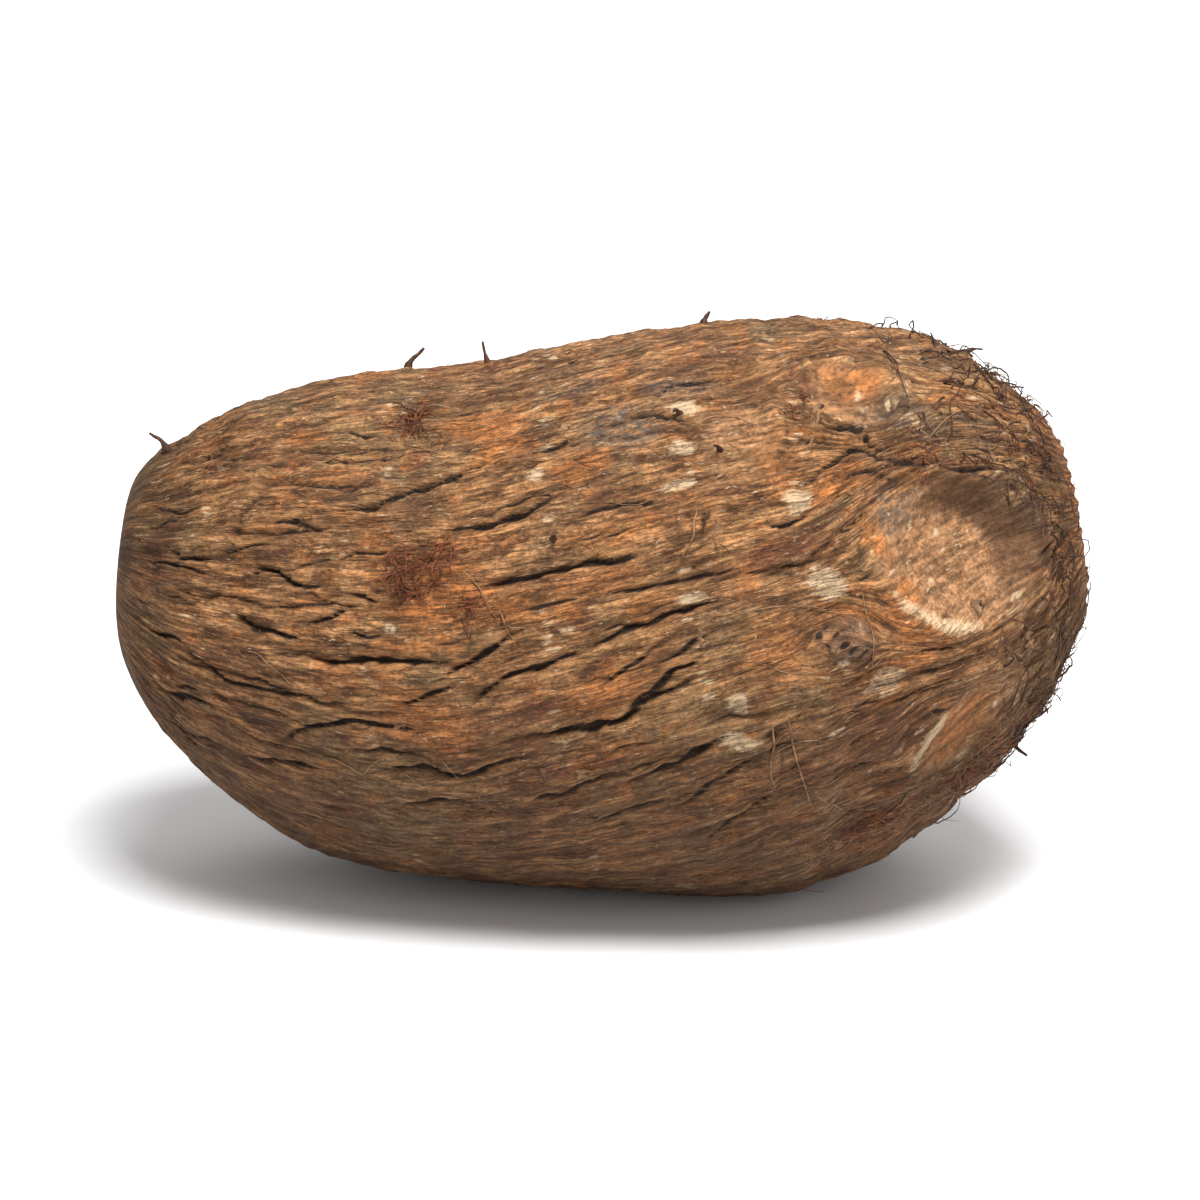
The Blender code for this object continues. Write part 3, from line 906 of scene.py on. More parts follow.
        # Painted shade in the dips of the fine relief.
        hollow_shade = fade(-fine, 0.03, 0.32)
        return {
            "height": height,
            "grain": grained,
            "crack": np.clip(np.maximum(rough * crack, scars["bud_lines"]) * side, 0, 1),
            "lip": np.clip(rough * lip, 0, 1),
            "hollow_shade": hollow_shade * rough,
            "ring": nearest * (1 - on_crown) + self.crown_rings(radius, angles) * on_crown,
            "pale": np.maximum(patches["pale"], scars["crescent"]) * (1 - scars["shadow"]),
            "warm": patches["warm"],
            "red": np.maximum(patches["red"], 0.45 * scars["bud"]),
            "grey": patches["grey"],
            "dark": np.clip(dark, 0, 1),
            "smooth": np.clip(smooth, 0, 1) * (1 - on_crown),
            "crown": on_crown,
        }

    def crown_rings(self, radius: Array, angles: Array) -> Array:
        """Returns how far each point of the crown's face is from its nearest ring of dashes."""
        turn = (radius + 0.5 * np.sin(2 * angles) + 0.3 * np.sin(5 * angles + 1.0)) / 3.1
        return 6.5 * (turn % 1.0 - 0.5)

    def crown_relief(self, radius: Array, angles: Array) -> Array:
        """Returns the relief of the crown's face: spiral ledges with radial ribs."""
        turn = (radius + 0.45 * angles + 0.35 * np.sin(5 * angles)) / 2.3
        ledge = 0.42 * (turn % 1.0) ** 2
        ribs = 0.12 * np.sin(angles * 46 + 3 * np.sin(radius * 0.9))
        middle = fade(radius, 1.0, 4.0)
        return middle * (ledge + ribs * fade(radius, 4.0, 8.0)) * (1 - fade(radius, 13.0, 15.5))


# The skin


@dataclass
class Skin:
    """The fine skin: a sphere whose columns follow the grain from the base to the crown."""

    form: Form
    marks: Marks
    columns: int = 480
    base_rows: int = 8
    body_rows: int = 166
    crown_rows: int = 30
    crowding: float = 0.25
    crowded_at: float = 0.2
    name: str = "corm_skin"

    def __post_init__(self) -> None:
        """Places the whole grid of points."""
        base = smooth_path(self.form.base, self.base_rows + 1)
        body = smooth_path(self.form.body, self.body_rows + 1)
        crown = smooth_path(self.form.crown, self.crown_rows + 1)
        rows = np.vstack([base, body[1:], crown[1:]])
        rows[0, 1] = rows[-1, 1] = 0.0
        self.edge = self.base_rows + self.body_rows
        slope = np.gradient(rows, axis=0)
        normals = np.column_stack([-slope[:, 1], slope[:, 0]])
        normals /= np.linalg.norm(normals, axis=1)[:, None]
        normals[0], normals[-1] = (-1.0, 0.0), (1.0, 0.0)
        self.rows = rows
        steps = np.linalg.norm(np.diff(rows, axis=0), axis=1)
        self.track = np.concatenate([[0], np.cumsum(steps)])
        turns = np.arange(self.columns) * 2 * math.pi / self.columns
        grain = turns - self.crowding * np.sin(turns - self.crowded_at)
        along = np.repeat(rows[:, :1], self.columns, axis=1)
        radius = np.repeat(rows[:, 1:], self.columns, axis=1)
        angles = self.marks.angles_on_grain(along, np.repeat(grain[None], len(rows), axis=0))
        past_edge = (np.arange(len(rows)) - self.edge) / 5.0
        on_crown = np.repeat(fade(past_edge, 0.0, 1.0)[:, None], self.columns, axis=1)
        self.fields = self.marks.relief(along, radius, angles, on_crown)
        height = self.fields.pop("height")
        height[0], height[-1] = height[0].mean(), height[-1].mean()
        self.points = self.form.place(
            along + normals[:, :1] * height, radius + normals[:, 1:] * height, angles
        )
        down = np.gradient(self.points, axis=0)
        ahead = np.roll(self.points, -1, axis=1) - np.roll(self.points, 1, axis=1)
        outward = np.cross(down, ahead)
        length = np.linalg.norm(outward, axis=2, keepdims=True)
        self.outward = outward / np.maximum(length, 1e-12)

    def track_of(self, along: Array) -> Array:
        """Returns the distance over the skin from the base pole to a place on the side."""
        return np.interp(along, self.rows[: self.edge + 1, 0], self.track[: self.edge + 1])

    def column_of(self, along: Array, angles: Array) -> Array:
        """Returns the place between columns of points given by their true angles."""
        grain = angles - self.marks.twist(along, angles)
        turns = grain
        for _ in range(14):
            turns = grain + self.crowding * np.sin(turns - self.crowded_at)
        return (turns / (2 * math.pi) * self.columns) % self.columns

    def at(self, track: Array, angles: Array, lift: Array) -> Array:
        """Finds points over the skin.

        Args:
            track: Distance over the skin from the base pole, in millimetres.
            angles: Angle round the body, in radians.
            lift: Height above the skin, in millimetres.

        Returns:
            Positions in metres, none lower than the fibres' clearance above the floor.
        """
        row = np.interp(track, self.track, np.arange(len(self.track)))
        row = np.clip(row, 1, len(self.track) - 2.001)
        along = np.interp(track, self.track, self.rows[:, 0])
        column = self.column_of(along, np.asarray(angles))
        r0, c0 = row.astype(int), column.astype(int) % self.columns
        fr, fc = (row - r0)[..., None], (column - np.floor(column))[..., None]
        c1 = (c0 + 1) % self.columns
        result = []
        for grid in (self.points, self.outward):
            near = grid[r0, c0] * (1 - fc) + grid[r0, c1] * fc
            far = grid[r0 + 1, c0] * (1 - fc) + grid[r0 + 1, c1] * fc
            result.append(near * (1 - fr) + far * fr)
        points = result[0] + result[1] * np.asarray(lift)[..., None] * MILLIMETRE
        points[..., 2] = np.maximum(points[..., 2], FIBRE_CLEARANCE * MILLIMETRE)
        return points

    def build(self, material: bpy.types.Material) -> bpy.types.Object:
        """Makes the skin's mesh, with its masks as attributes, and returns the piece."""
        bpy.ops.mesh.primitive_uv_sphere_add(
            segments=self.columns, ring_count=len(self.rows) - 1, radius=1.0
        )
        piece = bpy.context.object
        piece.name = piece.data.name = self.name
        count = len(piece.data.vertices)
        sphere = np.zeros(count * 3, np.float32)
        piece.data.vertices.foreach_get("co", sphere)
        sphere = sphere.reshape(-1, 3).astype(float)
        share = np.arccos(np.clip(-sphere[:, 2], -1, 1)) / math.pi
        row = np.rint(share * (len(self.rows) - 1)).astype(int)
        turn = np.arctan2(-sphere[:, 1], sphere[:, 0]) / (2 * math.pi)
        column = np.rint(turn * self.columns).astype(int) % self.columns
        placed = self.points[row, column].astype(np.float32)
        piece.data.vertices.foreach_set("co", placed.ravel())
        for name, values in self.fields.items():
            kind = "FLOAT_VECTOR" if values.ndim == 3 else "FLOAT"
            layer = piece.data.attributes.new(name, kind, "POINT")
            key = "vector" if values.ndim == 3 else "value"
            layer.data.foreach_set(key, values[row, column].astype(np.float32).ravel())
        for layer in list(piece.data.uv_layers):
            piece.data.uv_layers.remove(layer)
        piece.data.materials.append(material)
        piece.data.shade_smooth()
        piece.data.update()
        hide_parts(NODE)
        return piece


# Fibres


# Tufts in the picture: x and v there, spread in millimetres and number of fibres
SEEN_TUFTS = (
    (34.2, 23.4, 2.0, 48),
    (33.0, 5.0, 1.9, 60),
    (37.0, 7.4, 2.2, 46),
    (40.6, 1.6, 1.2, 18),
    (78.6, 24.0, 1.8, 20),
    (92.0, 15.6, 3.4, 26),
    (97.5, -22.0, 3.0, 60),
    (86.0, -25.0, 3.0, 50),
)

# Tufts behind: place along the body and degrees round it
HIDDEN_TUFTS = ((49.0, 150.0), (64.0, 235.0), (32.5, 262.0), (82.0, 120.0))

# Where the lower edge is frayed in the picture: x and v there
FRAYED_EDGE = ((80.0, -26.5), (86.0, -27.0), (92.0, -24.0), (97.0, -21.0), (100.5, -17.0))

# Long strands in the picture: x and v of both ends
SEEN_STRANDS = (
    ((40.0, 5.9), (45.1, -0.3)),
    ((44.0, 1.6), (46.5, -2.8)),
    ((45.0, -0.4), (47.4, -1.6)),
    ((74.6, -12.0), (75.4, -19.0)),
    ((76.4, -11.0), (78.6, -22.0)),
    ((66.4, 12.0), (64.6, 5.6)),
    ((68.4, 11.0), (69.0, 5.0)),
    ((79.6, -20.6), (86.0, -24.6)),
    ((84.0, 4.0), (87.0, -9.0)),
)

# Large flakes in the picture: x and v there
SEEN_FLAKES = ((88.0, 28.6), (91.0, 28.0), (93.5, 27.6), (101.0, 21.0), (104.0, 15.0), (79.0, 20.0))


@dataclass
class Fibres:
    """A family of dry fibres, each a thin tapered tube that follows the skin."""

    name: str
    thickness: float
    points: int = 7
    sides_resolution: int = 0
    paths: list[tuple[Array, Array]] = field(default_factory=list)

    def add(self, skin: Skin, track: Array, angles: Array, lift: Array, thickness: float) -> None:
        """Adds one fibre, unless it would lie across a side scar.

        Args:
            skin: The skin that the fibre follows.
            track: Distances over the skin of the fibre's points.
            angles: Their angles.
            lift: Their heights above the skin.
            thickness: Radius at the root, in millimetres.
        """
        along = np.interp(track, skin.track, skin.rows[:, 0])
        if crosses_scar(along, angles, skin.form.radius_at(along), SCAR_REACH):
            return
        line = skin.at(track, angles, lift)
        share = np.linspace(0, 1, len(line))
        self.paths.append((line, thickness * (1 - 0.72 * share**1.5)))

    def build(self, material: bpy.types.Material) -> bpy.types.Object:
        """Turns the paths into one mesh and returns the piece."""
        bpy.ops.object.select_all(action="DESELECT")
        curve = bpy.data.curves.new(self.name, "CURVE")
        curve.dimensions = "3D"
        curve.bevel_depth = MILLIMETRE
        curve.bevel_resolution = self.sides_resolution
        curve.use_fill_caps = True
        for line, radii in self.paths:
            spline = curve.splines.new("POLY")
            spline.points.add(len(line) - 1)
            spline.points.foreach_set("co", np.column_stack([line, np.ones(len(line))]).ravel())
            spline.points.foreach_set("radius", radii)
        piece = bpy.data.objects.new(self.name, curve)
        bpy.context.scene.collection.objects.link(piece)
        bpy.context.view_layer.objects.active = piece
        piece.select_set(True)
        bpy.ops.object.convert(target="MESH")
        piece = bpy.context.object
        bpy.ops.object.mode_set(mode="EDIT")
        bpy.ops.mesh.select_all(action="SELECT")
        bpy.ops.mesh.remove_doubles(threshold=0.000002)
        bpy.ops.mesh.normals_make_consistent(inside=False)
        bpy.ops.object.mode_set(mode="OBJECT")
        piece.name = piece.data.name = self.name
        piece.data.materials.clear()
        piece.data.materials.append(material)
        piece.data.shade_smooth()
        return piece


@dataclass
class Pelt:
    """Lays out every family of fibres on the skin."""

    skin: Skin
    seed: int = 401
    rim: float = 103.4
    last_root: float = 103.2
    sunk: float = 0.15

    def wavy(self, draw: random.Random, count: int, start: float, end: float, wave: float) -> Array:
        """Returns values from start to end with a slow random wave on them."""
        t = np.linspace(0, 1, count)
        phase, beats = draw.uniform(0, FULL_TURN), draw.uniform(0.6, 1.6)
        bend = np.sin(t * beats * FULL_TURN + phase) - math.sin(phase)
        return start + (end - start) * t + wave * t * bend

    def short_fibre(
        self, family: Fibres, draw: random.Random, place: float, angle: float, longest: float = 5.0
    ) -> None:
        """Adds one fibre that leaves the skin at a low angle towards the crown."""
        length = draw.uniform(1.2, longest)
        radius = max(8.0, float(self.skin.form.radius_at(place)))
        start = float(self.skin.track_of(place))
        track = self.wavy(draw, family.points, start, start + length, 0.3)
        aside = draw.gauss(0, 0.5) * length / radius
        angles = self.wavy(draw, family.points, angle, angle + aside, 0.5 / radius)
        rise = draw.uniform(0.02, 0.4) if draw.random() < 0.85 else draw.uniform(0.5, 1.8)
        t = np.linspace(0, 1, family.points)
        lift = -self.sunk + (rise + 0.1) * t ** draw.uniform(0.7, 1.6)
        family.add(self.skin, track, angles, lift, family.thickness * draw.uniform(0.6, 1.3))

    def loop(
        self, family: Fibres, draw: random.Random, start: tuple, end: tuple, height: float, wave: float
    ) -> None:
        """Adds a fibre that leaves the skin, bows away from it and comes back to it."""
        track = self.wavy(draw, family.points, start[0], end[0], wave)
        radius = max(13.0, float(self.skin.form.radius_at(min(start[0], 100.0))))
        angles = self.wavy(draw, family.points, start[1], end[1], wave / radius)
        t = np.linspace(0, 1, family.points)
        lift = -self.sunk + (height + self.sunk) * np.sin(math.pi * t ** draw.uniform(0.7, 1.3))
        family.add(self.skin, track, angles, lift, family.thickness * draw.uniform(0.6, 1.3))

    def ring_fibres(self) -> Fibres:
        """Returns the short fibres that leaf sheaths left on the rings."""
        draw = random.Random(self.seed)
        family = Fibres("ring_fibres", 0.055)
        for index, ring in enumerate(self.skin.marks.rings[1:]):
            radius = float(self.skin.form.radius_at(ring))
            for _ in range(int(radius * (1.0 + 0.35 * index))):
                self.short_fibre(family, draw, ring + draw.gauss(0.2, 1.1), any_angle(draw))
        return family

    def tufts(self) -> Fibres:
        """Returns the reddish tufts that the picture shows, and others like them behind."""
        draw = random.Random(self.seed + 1)
        family = Fibres("red_tufts", 0.085)
        for x, v, spread, count in SEEN_TUFTS:
            place, angle = self.skin.form.seen(x, v)
            self.tuft(family, draw, place, angle, spread, count)
        for place, degrees in HIDDEN_TUFTS:
            self.tuft(family, draw, place, math.radians(degrees), 1.8, 26)
        return family

    def tuft(
        self, family: Fibres, draw: random.Random, place: float, angle: float, spread: float, count: int
    ) -> None:
        """Adds fibres that fan out of one small spot."""
        radius = float(self.skin.form.radius_at(place))
        for _ in range(count):
            aim = draw.uniform(0, FULL_TURN)
            length = draw.uniform(1.2, 4.2)
            s0, a0 = place + draw.gauss(0, spread * 0.5), angle + draw.gauss(0, spread * 0.5) / radius
            start = float(self.skin.track_of(s0))
            track = self.wavy(draw, family.points, start, start + length * math.cos(aim), 0.4)
            end = a0 + length * math.sin(aim) / radius
            angles = self.wavy(draw, family.points, a0, end, 0.4 / radius)
            t = np.linspace(0, 1, family.points)
            lift = -self.sunk + draw.uniform(0.2, 1.2) * np.sin(t * draw.uniform(1.2, 2.6))
            family.add(self.skin, track, angles, lift, family.thickness * draw.uniform(0.6, 1.3))

    def stray_hairs(self) -> Fibres:
        """Returns thin hairs scattered over the whole skin."""
        draw = random.Random(self.seed + 2)
        family = Fibres("stray_hairs", 0.04)
        for _ in range(420):
            place = draw.uniform(3.0, 102.0)
            self.short_fibre(family, draw, place, any_angle(draw), 4.0)
        for x, v in FRAYED_EDGE:
            place, angle = self.skin.form.seen(x, v)
            self.tuft(family, draw, place, angle, 3.0, 44)
        return family

    def strands(self) -> Fibres:
        """Returns long flat-lying strands, most of them on the crown half."""
        draw = random.Random(self.seed + 3)
        family = Fibres("sheath_strands", 0.13, points=14)
        for start, end in SEEN_STRANDS:
            s0, a0 = self.skin.form.seen(*start)
            s1, a1 = self.skin.form.seen(*end)
            first = (float(self.skin.track_of(s0)), a0)
            self.loop(family, draw, first, (float(self.skin.track_of(s1)), a1), 0.3, 0.5)
        for k in range(120):
            place = draw.uniform(66.0, 98.0) if k % 4 else draw.uniform(8.0, 70.0)
            angle = any_angle(draw)
            length = draw.uniform(4.0, 13.0)
            radius = float(self.skin.form.radius_at(place))
            slope = draw.gauss(0.35, 0.45) if place > 60 else draw.gauss(0.05, 0.15)
            start = float(self.skin.track_of(place))
            track = self.wavy(draw, family.points, start, start + length, 0.7)
            angles = self.wavy(draw, family.points, angle, angle + slope * length / radius, 1.6 / radius)
            t = np.linspace(0, 1, family.points)
            lift = -0.04 + 0.14 * np.sin(t * math.pi) * draw.uniform(0.2, 1.4)
            thickness = family.thickness * draw.uniform(0.35, 1.0)
            family.add(self.skin, track, angles, lift, thickness)
        return family

    def crown_fringe(self) -> Fibres:
        """Returns the fibres round the rim of the crown, loops and free ends."""
        draw = random.Random(self.seed + 4)
        family = Fibres("crown_fringe", 0.12, points=9)
        for _ in range(360):
            place = min(self.last_root, draw.triangular(84.0, self.rim, 101.0))
            angle = any_angle(draw)
            length = draw.uniform(2.0, 6.5)
            start = float(self.skin.track_of(place))
            aside = draw.gauss(0, 0.9) * length / 18.0
            height = abs(draw.gauss(0.1, 0.8))
            end = (start + length * draw.uniform(0.4, 1.0), angle + aside)
            self.loop(family, draw, (start, angle), end, height, 0.8)
        for _ in range(320):
            place = min(self.last_root, draw.triangular(88.0, self.rim, 101.0))
            angle = any_angle(draw)
            length = draw.uniform(1.6, 5.0)
            start = float(self.skin.track_of(place))
            track = self.wavy(draw, family.points, start, start + length, 0.4)
            aside = draw.gauss(0, 0.7) * length / 17.0
            angles = self.wavy(draw, family.points, angle, angle + aside, 0.06)
            t = np.linspace(0, 1, family.points)
            lift = -0.2 + draw.uniform(0.3, 1.7) * np.sin(t * draw.uniform(1.0, 3.0))
            family.add(self.skin, track, angles, lift, family.thickness * draw.uniform(0.5, 1.1))
        return family

    def crown_tuft(self) -> Fibres:
        """Returns the tuft in the middle of the crown, with strands across its face."""
        draw = random.Random(self.seed + 5)
        family = Fibres("crown_tuft", 0.11, points=8)
        end = float(self.skin.track[-1])
        t = np.linspace(0, 1, family.points)
        for _ in range(120):
            angle = any_angle(draw)
            root = draw.uniform(0.3, 3.4)
            length = draw.uniform(2.0, 5.5)
            track = end - root - length * t * draw.uniform(0.2, 0.9)
            angles = self.wavy(draw, family.points, angle, angle + draw.gauss(0, 0.35), 0.15)
            lift = -0.2 + draw.uniform(0.5, 3.2) * np.sin(t * draw.uniform(0.9, 2.4))
            family.add(self.skin, track, angles, lift, family.thickness * draw.uniform(0.5, 1.3))
        for _ in range(46):
            angle = any_angle(draw)
            track = end - np.linspace(draw.uniform(2.0, 7.0), draw.uniform(9.0, 17.0), family.points)
            angles = self.wavy(draw, family.points, angle, angle + draw.gauss(0, 0.5), 0.2)
            lift = 0.05 + 0.5 * np.sin(t * math.pi) * draw.uniform(0.1, 1.0)
            family.add(self.skin, track, angles, lift, family.thickness * draw.uniform(0.6, 1.5))
        return family


# Root stubs and sheath remnants


@dataclass
class RootStubs:
    """Broken ends of dead roots, on the rings."""

    form: Form
    placed: Points = ((31.5, 106.0), (41.0, 100.0), (66.6, 104.0), (96.0, 96.0), (97.5, -48.0))
    drawn: int = 26
    shortest: float = 1.2
    longest: float = 3.0
    gap: float = 5.0
    clearance: float = 17.0
    thickness: float = 0.27
    seed: int = 5

    def sites(self, rings: tuple[float, ...]) -> list[tuple[float, float]]:
        """Returns the place along the body and the angle of each stub that stands."""
        draw = random.Random(self.seed)
        wanted = [(place, math.radians(degrees)) for place, degrees in self.placed]
        for k in range(self.drawn):
            ring = rings[k % len(rings)]
            wanted.append((ring + draw.uniform(-2.0, 2.0), draw.uniform(-math.pi, math.pi)))
        kept, points = [], []
        for place, angle in wanted:
            radius = float(self.form.radius_at(place))
            point = self.form.place(np.float64(place), radius, np.float64(angle)) / MILLIMETRE
            near = any(np.linalg.norm(point - other) < self.gap for other in points)
            if near or point[2] < self.clearance or self.in_scar(place, angle, radius):
                continue
            kept.append((place, angle))
            points.append(point)
        return kept

    def in_scar(self, place: float, angle: float, radius: float) -> bool:
        """Returns whether a place lies in the dish of a side scar."""
        for scar in SIDE_SCARS:
            across = float(angle_between(angle, math.radians(scar.degrees))) * radius
            if math.hypot((place - scar.along) / scar.half_length, across / scar.half_width) < 1.2:
                return True
        return False

    def build(self, skin: Skin, material: bpy.types.Material) -> bpy.types.Object:
        """Makes the stubs as bent tapered tubes with blunt ends and returns the piece."""
        draw = random.Random(self.seed + 1)
        family = Fibres("root_stubs", self.thickness, points=8, sides_resolution=1)
        for place, angle in skin.marks.stub_sites:
            length = draw.uniform(self.shortest, self.longest)
            radius = float(self.form.radius_at(place))
            t = np.linspace(0, 1, family.points)
            start = float(skin.track_of(place))
            track = start + draw.uniform(-0.4, 0.7) * length * t**1.6
            angles = angle + draw.uniform(-0.6, 0.6) * length * t**1.6 / radius
            lift = -0.7 + (length + 0.7) * t
            line = skin.at(track, angles, lift)
            collar = 1.0 + 1.3 * np.exp(-lift.clip(0) / 0.4)
            rough = np.array([draw.uniform(0.8, 1.25) for _ in t])
            radii = family.thickness * draw.uniform(0.6, 1.25) * collar * rough * (1 - 0.45 * t)
            family.paths.append((line, radii))
        return family.build(material)


@dataclass
class SheathFlakes:
    """Papery scraps of leaf sheath that still cling to the rings."""

    skin: Skin
    seed: int = 77
    across: int = 7
    deep: int = 4
    thickness: float = 0.12

    def outlines(self) -> list[Array]:
        """Returns the grid of points of every flake."""
        draw = random.Random(self.seed)
        flakes = []
        for x, v in SEEN_FLAKES:
            place, angle = self.skin.form.seen(x, v)
            flakes.append(self.flake(draw, place, angle, 1.4))
        for index, ring in enumerate(self.skin.marks.rings[2:]):
            for _ in range(3 if index < 3 else 9):
                place = ring + draw.gauss(0.0, 1.2)
                flakes.append(self.flake(draw, place, any_angle(draw), 1.0))
        return flakes

    def flake(self, draw: random.Random, place: float, angle: float, size: float) -> Array:
        """Returns one flake: rooted in the ring, ragged and lifted at its free edge."""
        radius = max(10.0, float(self.skin.form.radius_at(place)))
        half = size * draw.uniform(0.4, 1.7)
        length = size * draw.uniform(0.9, 2.8)
        rise = size * draw.uniform(0.03, 0.4)
        u = np.linspace(-1, 1, self.across)[:, None]
        v = np.linspace(0, 1, self.deep)[None]
        tear = np.array([draw.uniform(0.35, 1.0) for _ in range(self.across)])[:, None]
        lean = draw.gauss(0.35, 0.35)
        start = float(self.skin.track_of(place))
        track = start + length * v * tear * (1 - 0.45 * u**2)
        narrow = 1 - draw.uniform(0.1, 0.6) * v
        angles = angle + (half * u * narrow + lean * length * v) / radius + 0 * track
        curl = draw.uniform(-0.1, 0.3)
        lift = -0.12 + (rise * v**1.5 + curl * u**2 * v) + 0 * track
        return self.skin.at(track, angles, lift)

    def build(self, material: bpy.types.Material) -> bpy.types.Object:
        """Makes every flake from a small grid, gives them a thickness and returns the piece."""
        flakes = self.outlines()
        bpy.ops.object.select_all(action="DESELECT")
        cells = {"x_subdivisions": self.across - 1, "y_subdivisions": self.deep - 1}
        bpy.ops.mesh.primitive_grid_add(**cells)
        piece = bpy.context.object
        bpy.ops.object.mode_set(mode="EDIT")
        for _ in flakes[1:]:
            bpy.ops.mesh.primitive_grid_add(**cells)
        bpy.ops.object.mode_set(mode="OBJECT")
        points = np.concatenate([f.transpose(1, 0, 2).reshape(-1, 3) for f in flakes])
        piece.data.vertices.foreach_set("co", points.astype(np.float32).ravel())
        piece.name = piece.data.name = "sheath_flakes"
        wall = piece.modifiers.new("wall", "SOLIDIFY")
        wall.thickness = self.thickness * MILLIMETRE
        wall.offset = 0.0
        bpy.ops.object.modifier_apply(modifier=wall.name)
        piece.data.materials.append(material)
        piece.data.shade_smooth()
        return piece


# Node graphs


class Graph:
    """Adds nodes to one node tree and joins them."""

    def __init__(self, tree: bpy.types.NodeTree) -> None:
        """Keeps the tree that nodes are added to."""
        self.tree = tree

    def add(self, kind: str, inputs: dict | None = None, **settings: object) -> bpy.types.Node:
        """Adds a node.

        Args:
            kind: The node's type.
            inputs: Values or sockets for its inputs, by name or index.
            **settings: Its own properties.

        Returns:
            The node.
        """
        node = self.tree.nodes.new(kind)
        for key, value in settings.items():
            setattr(node, key, value)
        self.fill(node, inputs or {})
        return node

    def fill(self, node: bpy.types.Node, inputs: dict) -> None:
        """Joins a socket to each input, or sets its value."""
        for key, value in inputs.items():
            if isinstance(value, bpy.types.NodeSocket):
                self.tree.links.new(value, node.inputs[key])
            else:
                node.inputs[key].default_value = value

    def math(self, operation: str, a: object, b: object = 0.0) -> bpy.types.NodeSocket:
        """Returns the result of one arithmetic step."""
        return self.add("ShaderNodeMath", {0: a, 1: b}, operation=operation).outputs[0]

    def times(self, a: object, b: object) -> bpy.types.NodeSocket:
        """Returns a times b."""
        return self.math("MULTIPLY", a, b)

    def plus(self, a: object, b: object) -> bpy.types.NodeSocket:
        """Returns a plus b."""
        return self.math("ADD", a, b)

    def minus(self, a: object, b: object) -> bpy.types.NodeSocket:
        """Returns a less b."""
        return self.math("SUBTRACT", a, b)

    def larger(self, a: object, b: object) -> bpy.types.NodeSocket:
        """Returns the larger of a and b."""
        return self.math("MAXIMUM", a, b)

    def step(
        self, value: object, low: object, high: object, start: float = 0.0, end: float = 1.0
    ) -> bpy.types.NodeSocket:
        """Returns a smooth step from start to end as value goes from low to high."""
        inputs = {"Value": value, "From Min": low, "From Max": high, "To Min": start, "To Max": end}
        node = self.add("ShaderNodeMapRange", inputs, interpolation_type="SMOOTHSTEP")
        return node.outputs["Result"]

    def mix(self, share: object, a: object, b: object, blend: str = "MIX") -> bpy.types.NodeSocket:
        """Returns a mix of two colours."""
        inputs = {0: share, 6: a, 7: b}
        node = self.add("ShaderNodeMix", inputs, data_type="RGBA", blend_type=blend)
        return node.outputs[2]

    def shaded(self, colour: object, factor: object) -> bpy.types.NodeSocket:
        """Returns the colour made lighter or darker by a factor."""
        grey = self.add("ShaderNodeCombineColor", {0: factor, 1: factor, 2: factor}).outputs[0]
        return self.mix(1.0, colour, grey, "MULTIPLY")

    def noise(
        self, vector: object, scale: object, detail: float = 3.0, roughness: float = 0.55
    ) -> bpy.types.NodeSocket:
        """Returns the value of a noise texture."""
        inputs = {"Vector": vector, "Scale": scale, "Detail": detail, "Roughness": roughness}
        return self.add("ShaderNodeTexNoise", inputs).outputs["Fac"]

    def stretch(self, vector: object, along: object, across: object) -> bpy.types.NodeSocket:
        """Returns the vector divided by a length along the grain and one across it."""
        divisor = self.add("ShaderNodeCombineXYZ", {0: along, 1: across, 2: across}).outputs[0]
        node = self.add("ShaderNodeVectorMath", {0: vector, 1: divisor}, operation="DIVIDE")
        return node.outputs[0]

    def millimetres(self) -> bpy.types.NodeSocket:
        """Returns the object's own coordinates in millimetres."""
        place = self.add("ShaderNodeTexCoord").outputs["Object"]
        scale = {0: place, 1: (1000.0, 1000.0, 1000.0)}
        return self.add("ShaderNodeVectorMath", scale, operation="MULTIPLY").outputs[0]

    def layer(self, name: str) -> bpy.types.NodeSocket:
        """Returns the value of one of the skin's masks."""
        return self.add("ShaderNodeAttribute", attribute_name=name).outputs["Fac"]

    def group(self, tree: bpy.types.NodeTree, inputs: dict, output: str) -> bpy.types.NodeSocket:
        """Places a shared effect and returns one of its outputs."""
        node = self.tree.nodes.new("ShaderNodeGroup")
        node.node_tree = tree
        self.fill(node, inputs)
        return node.outputs[output]


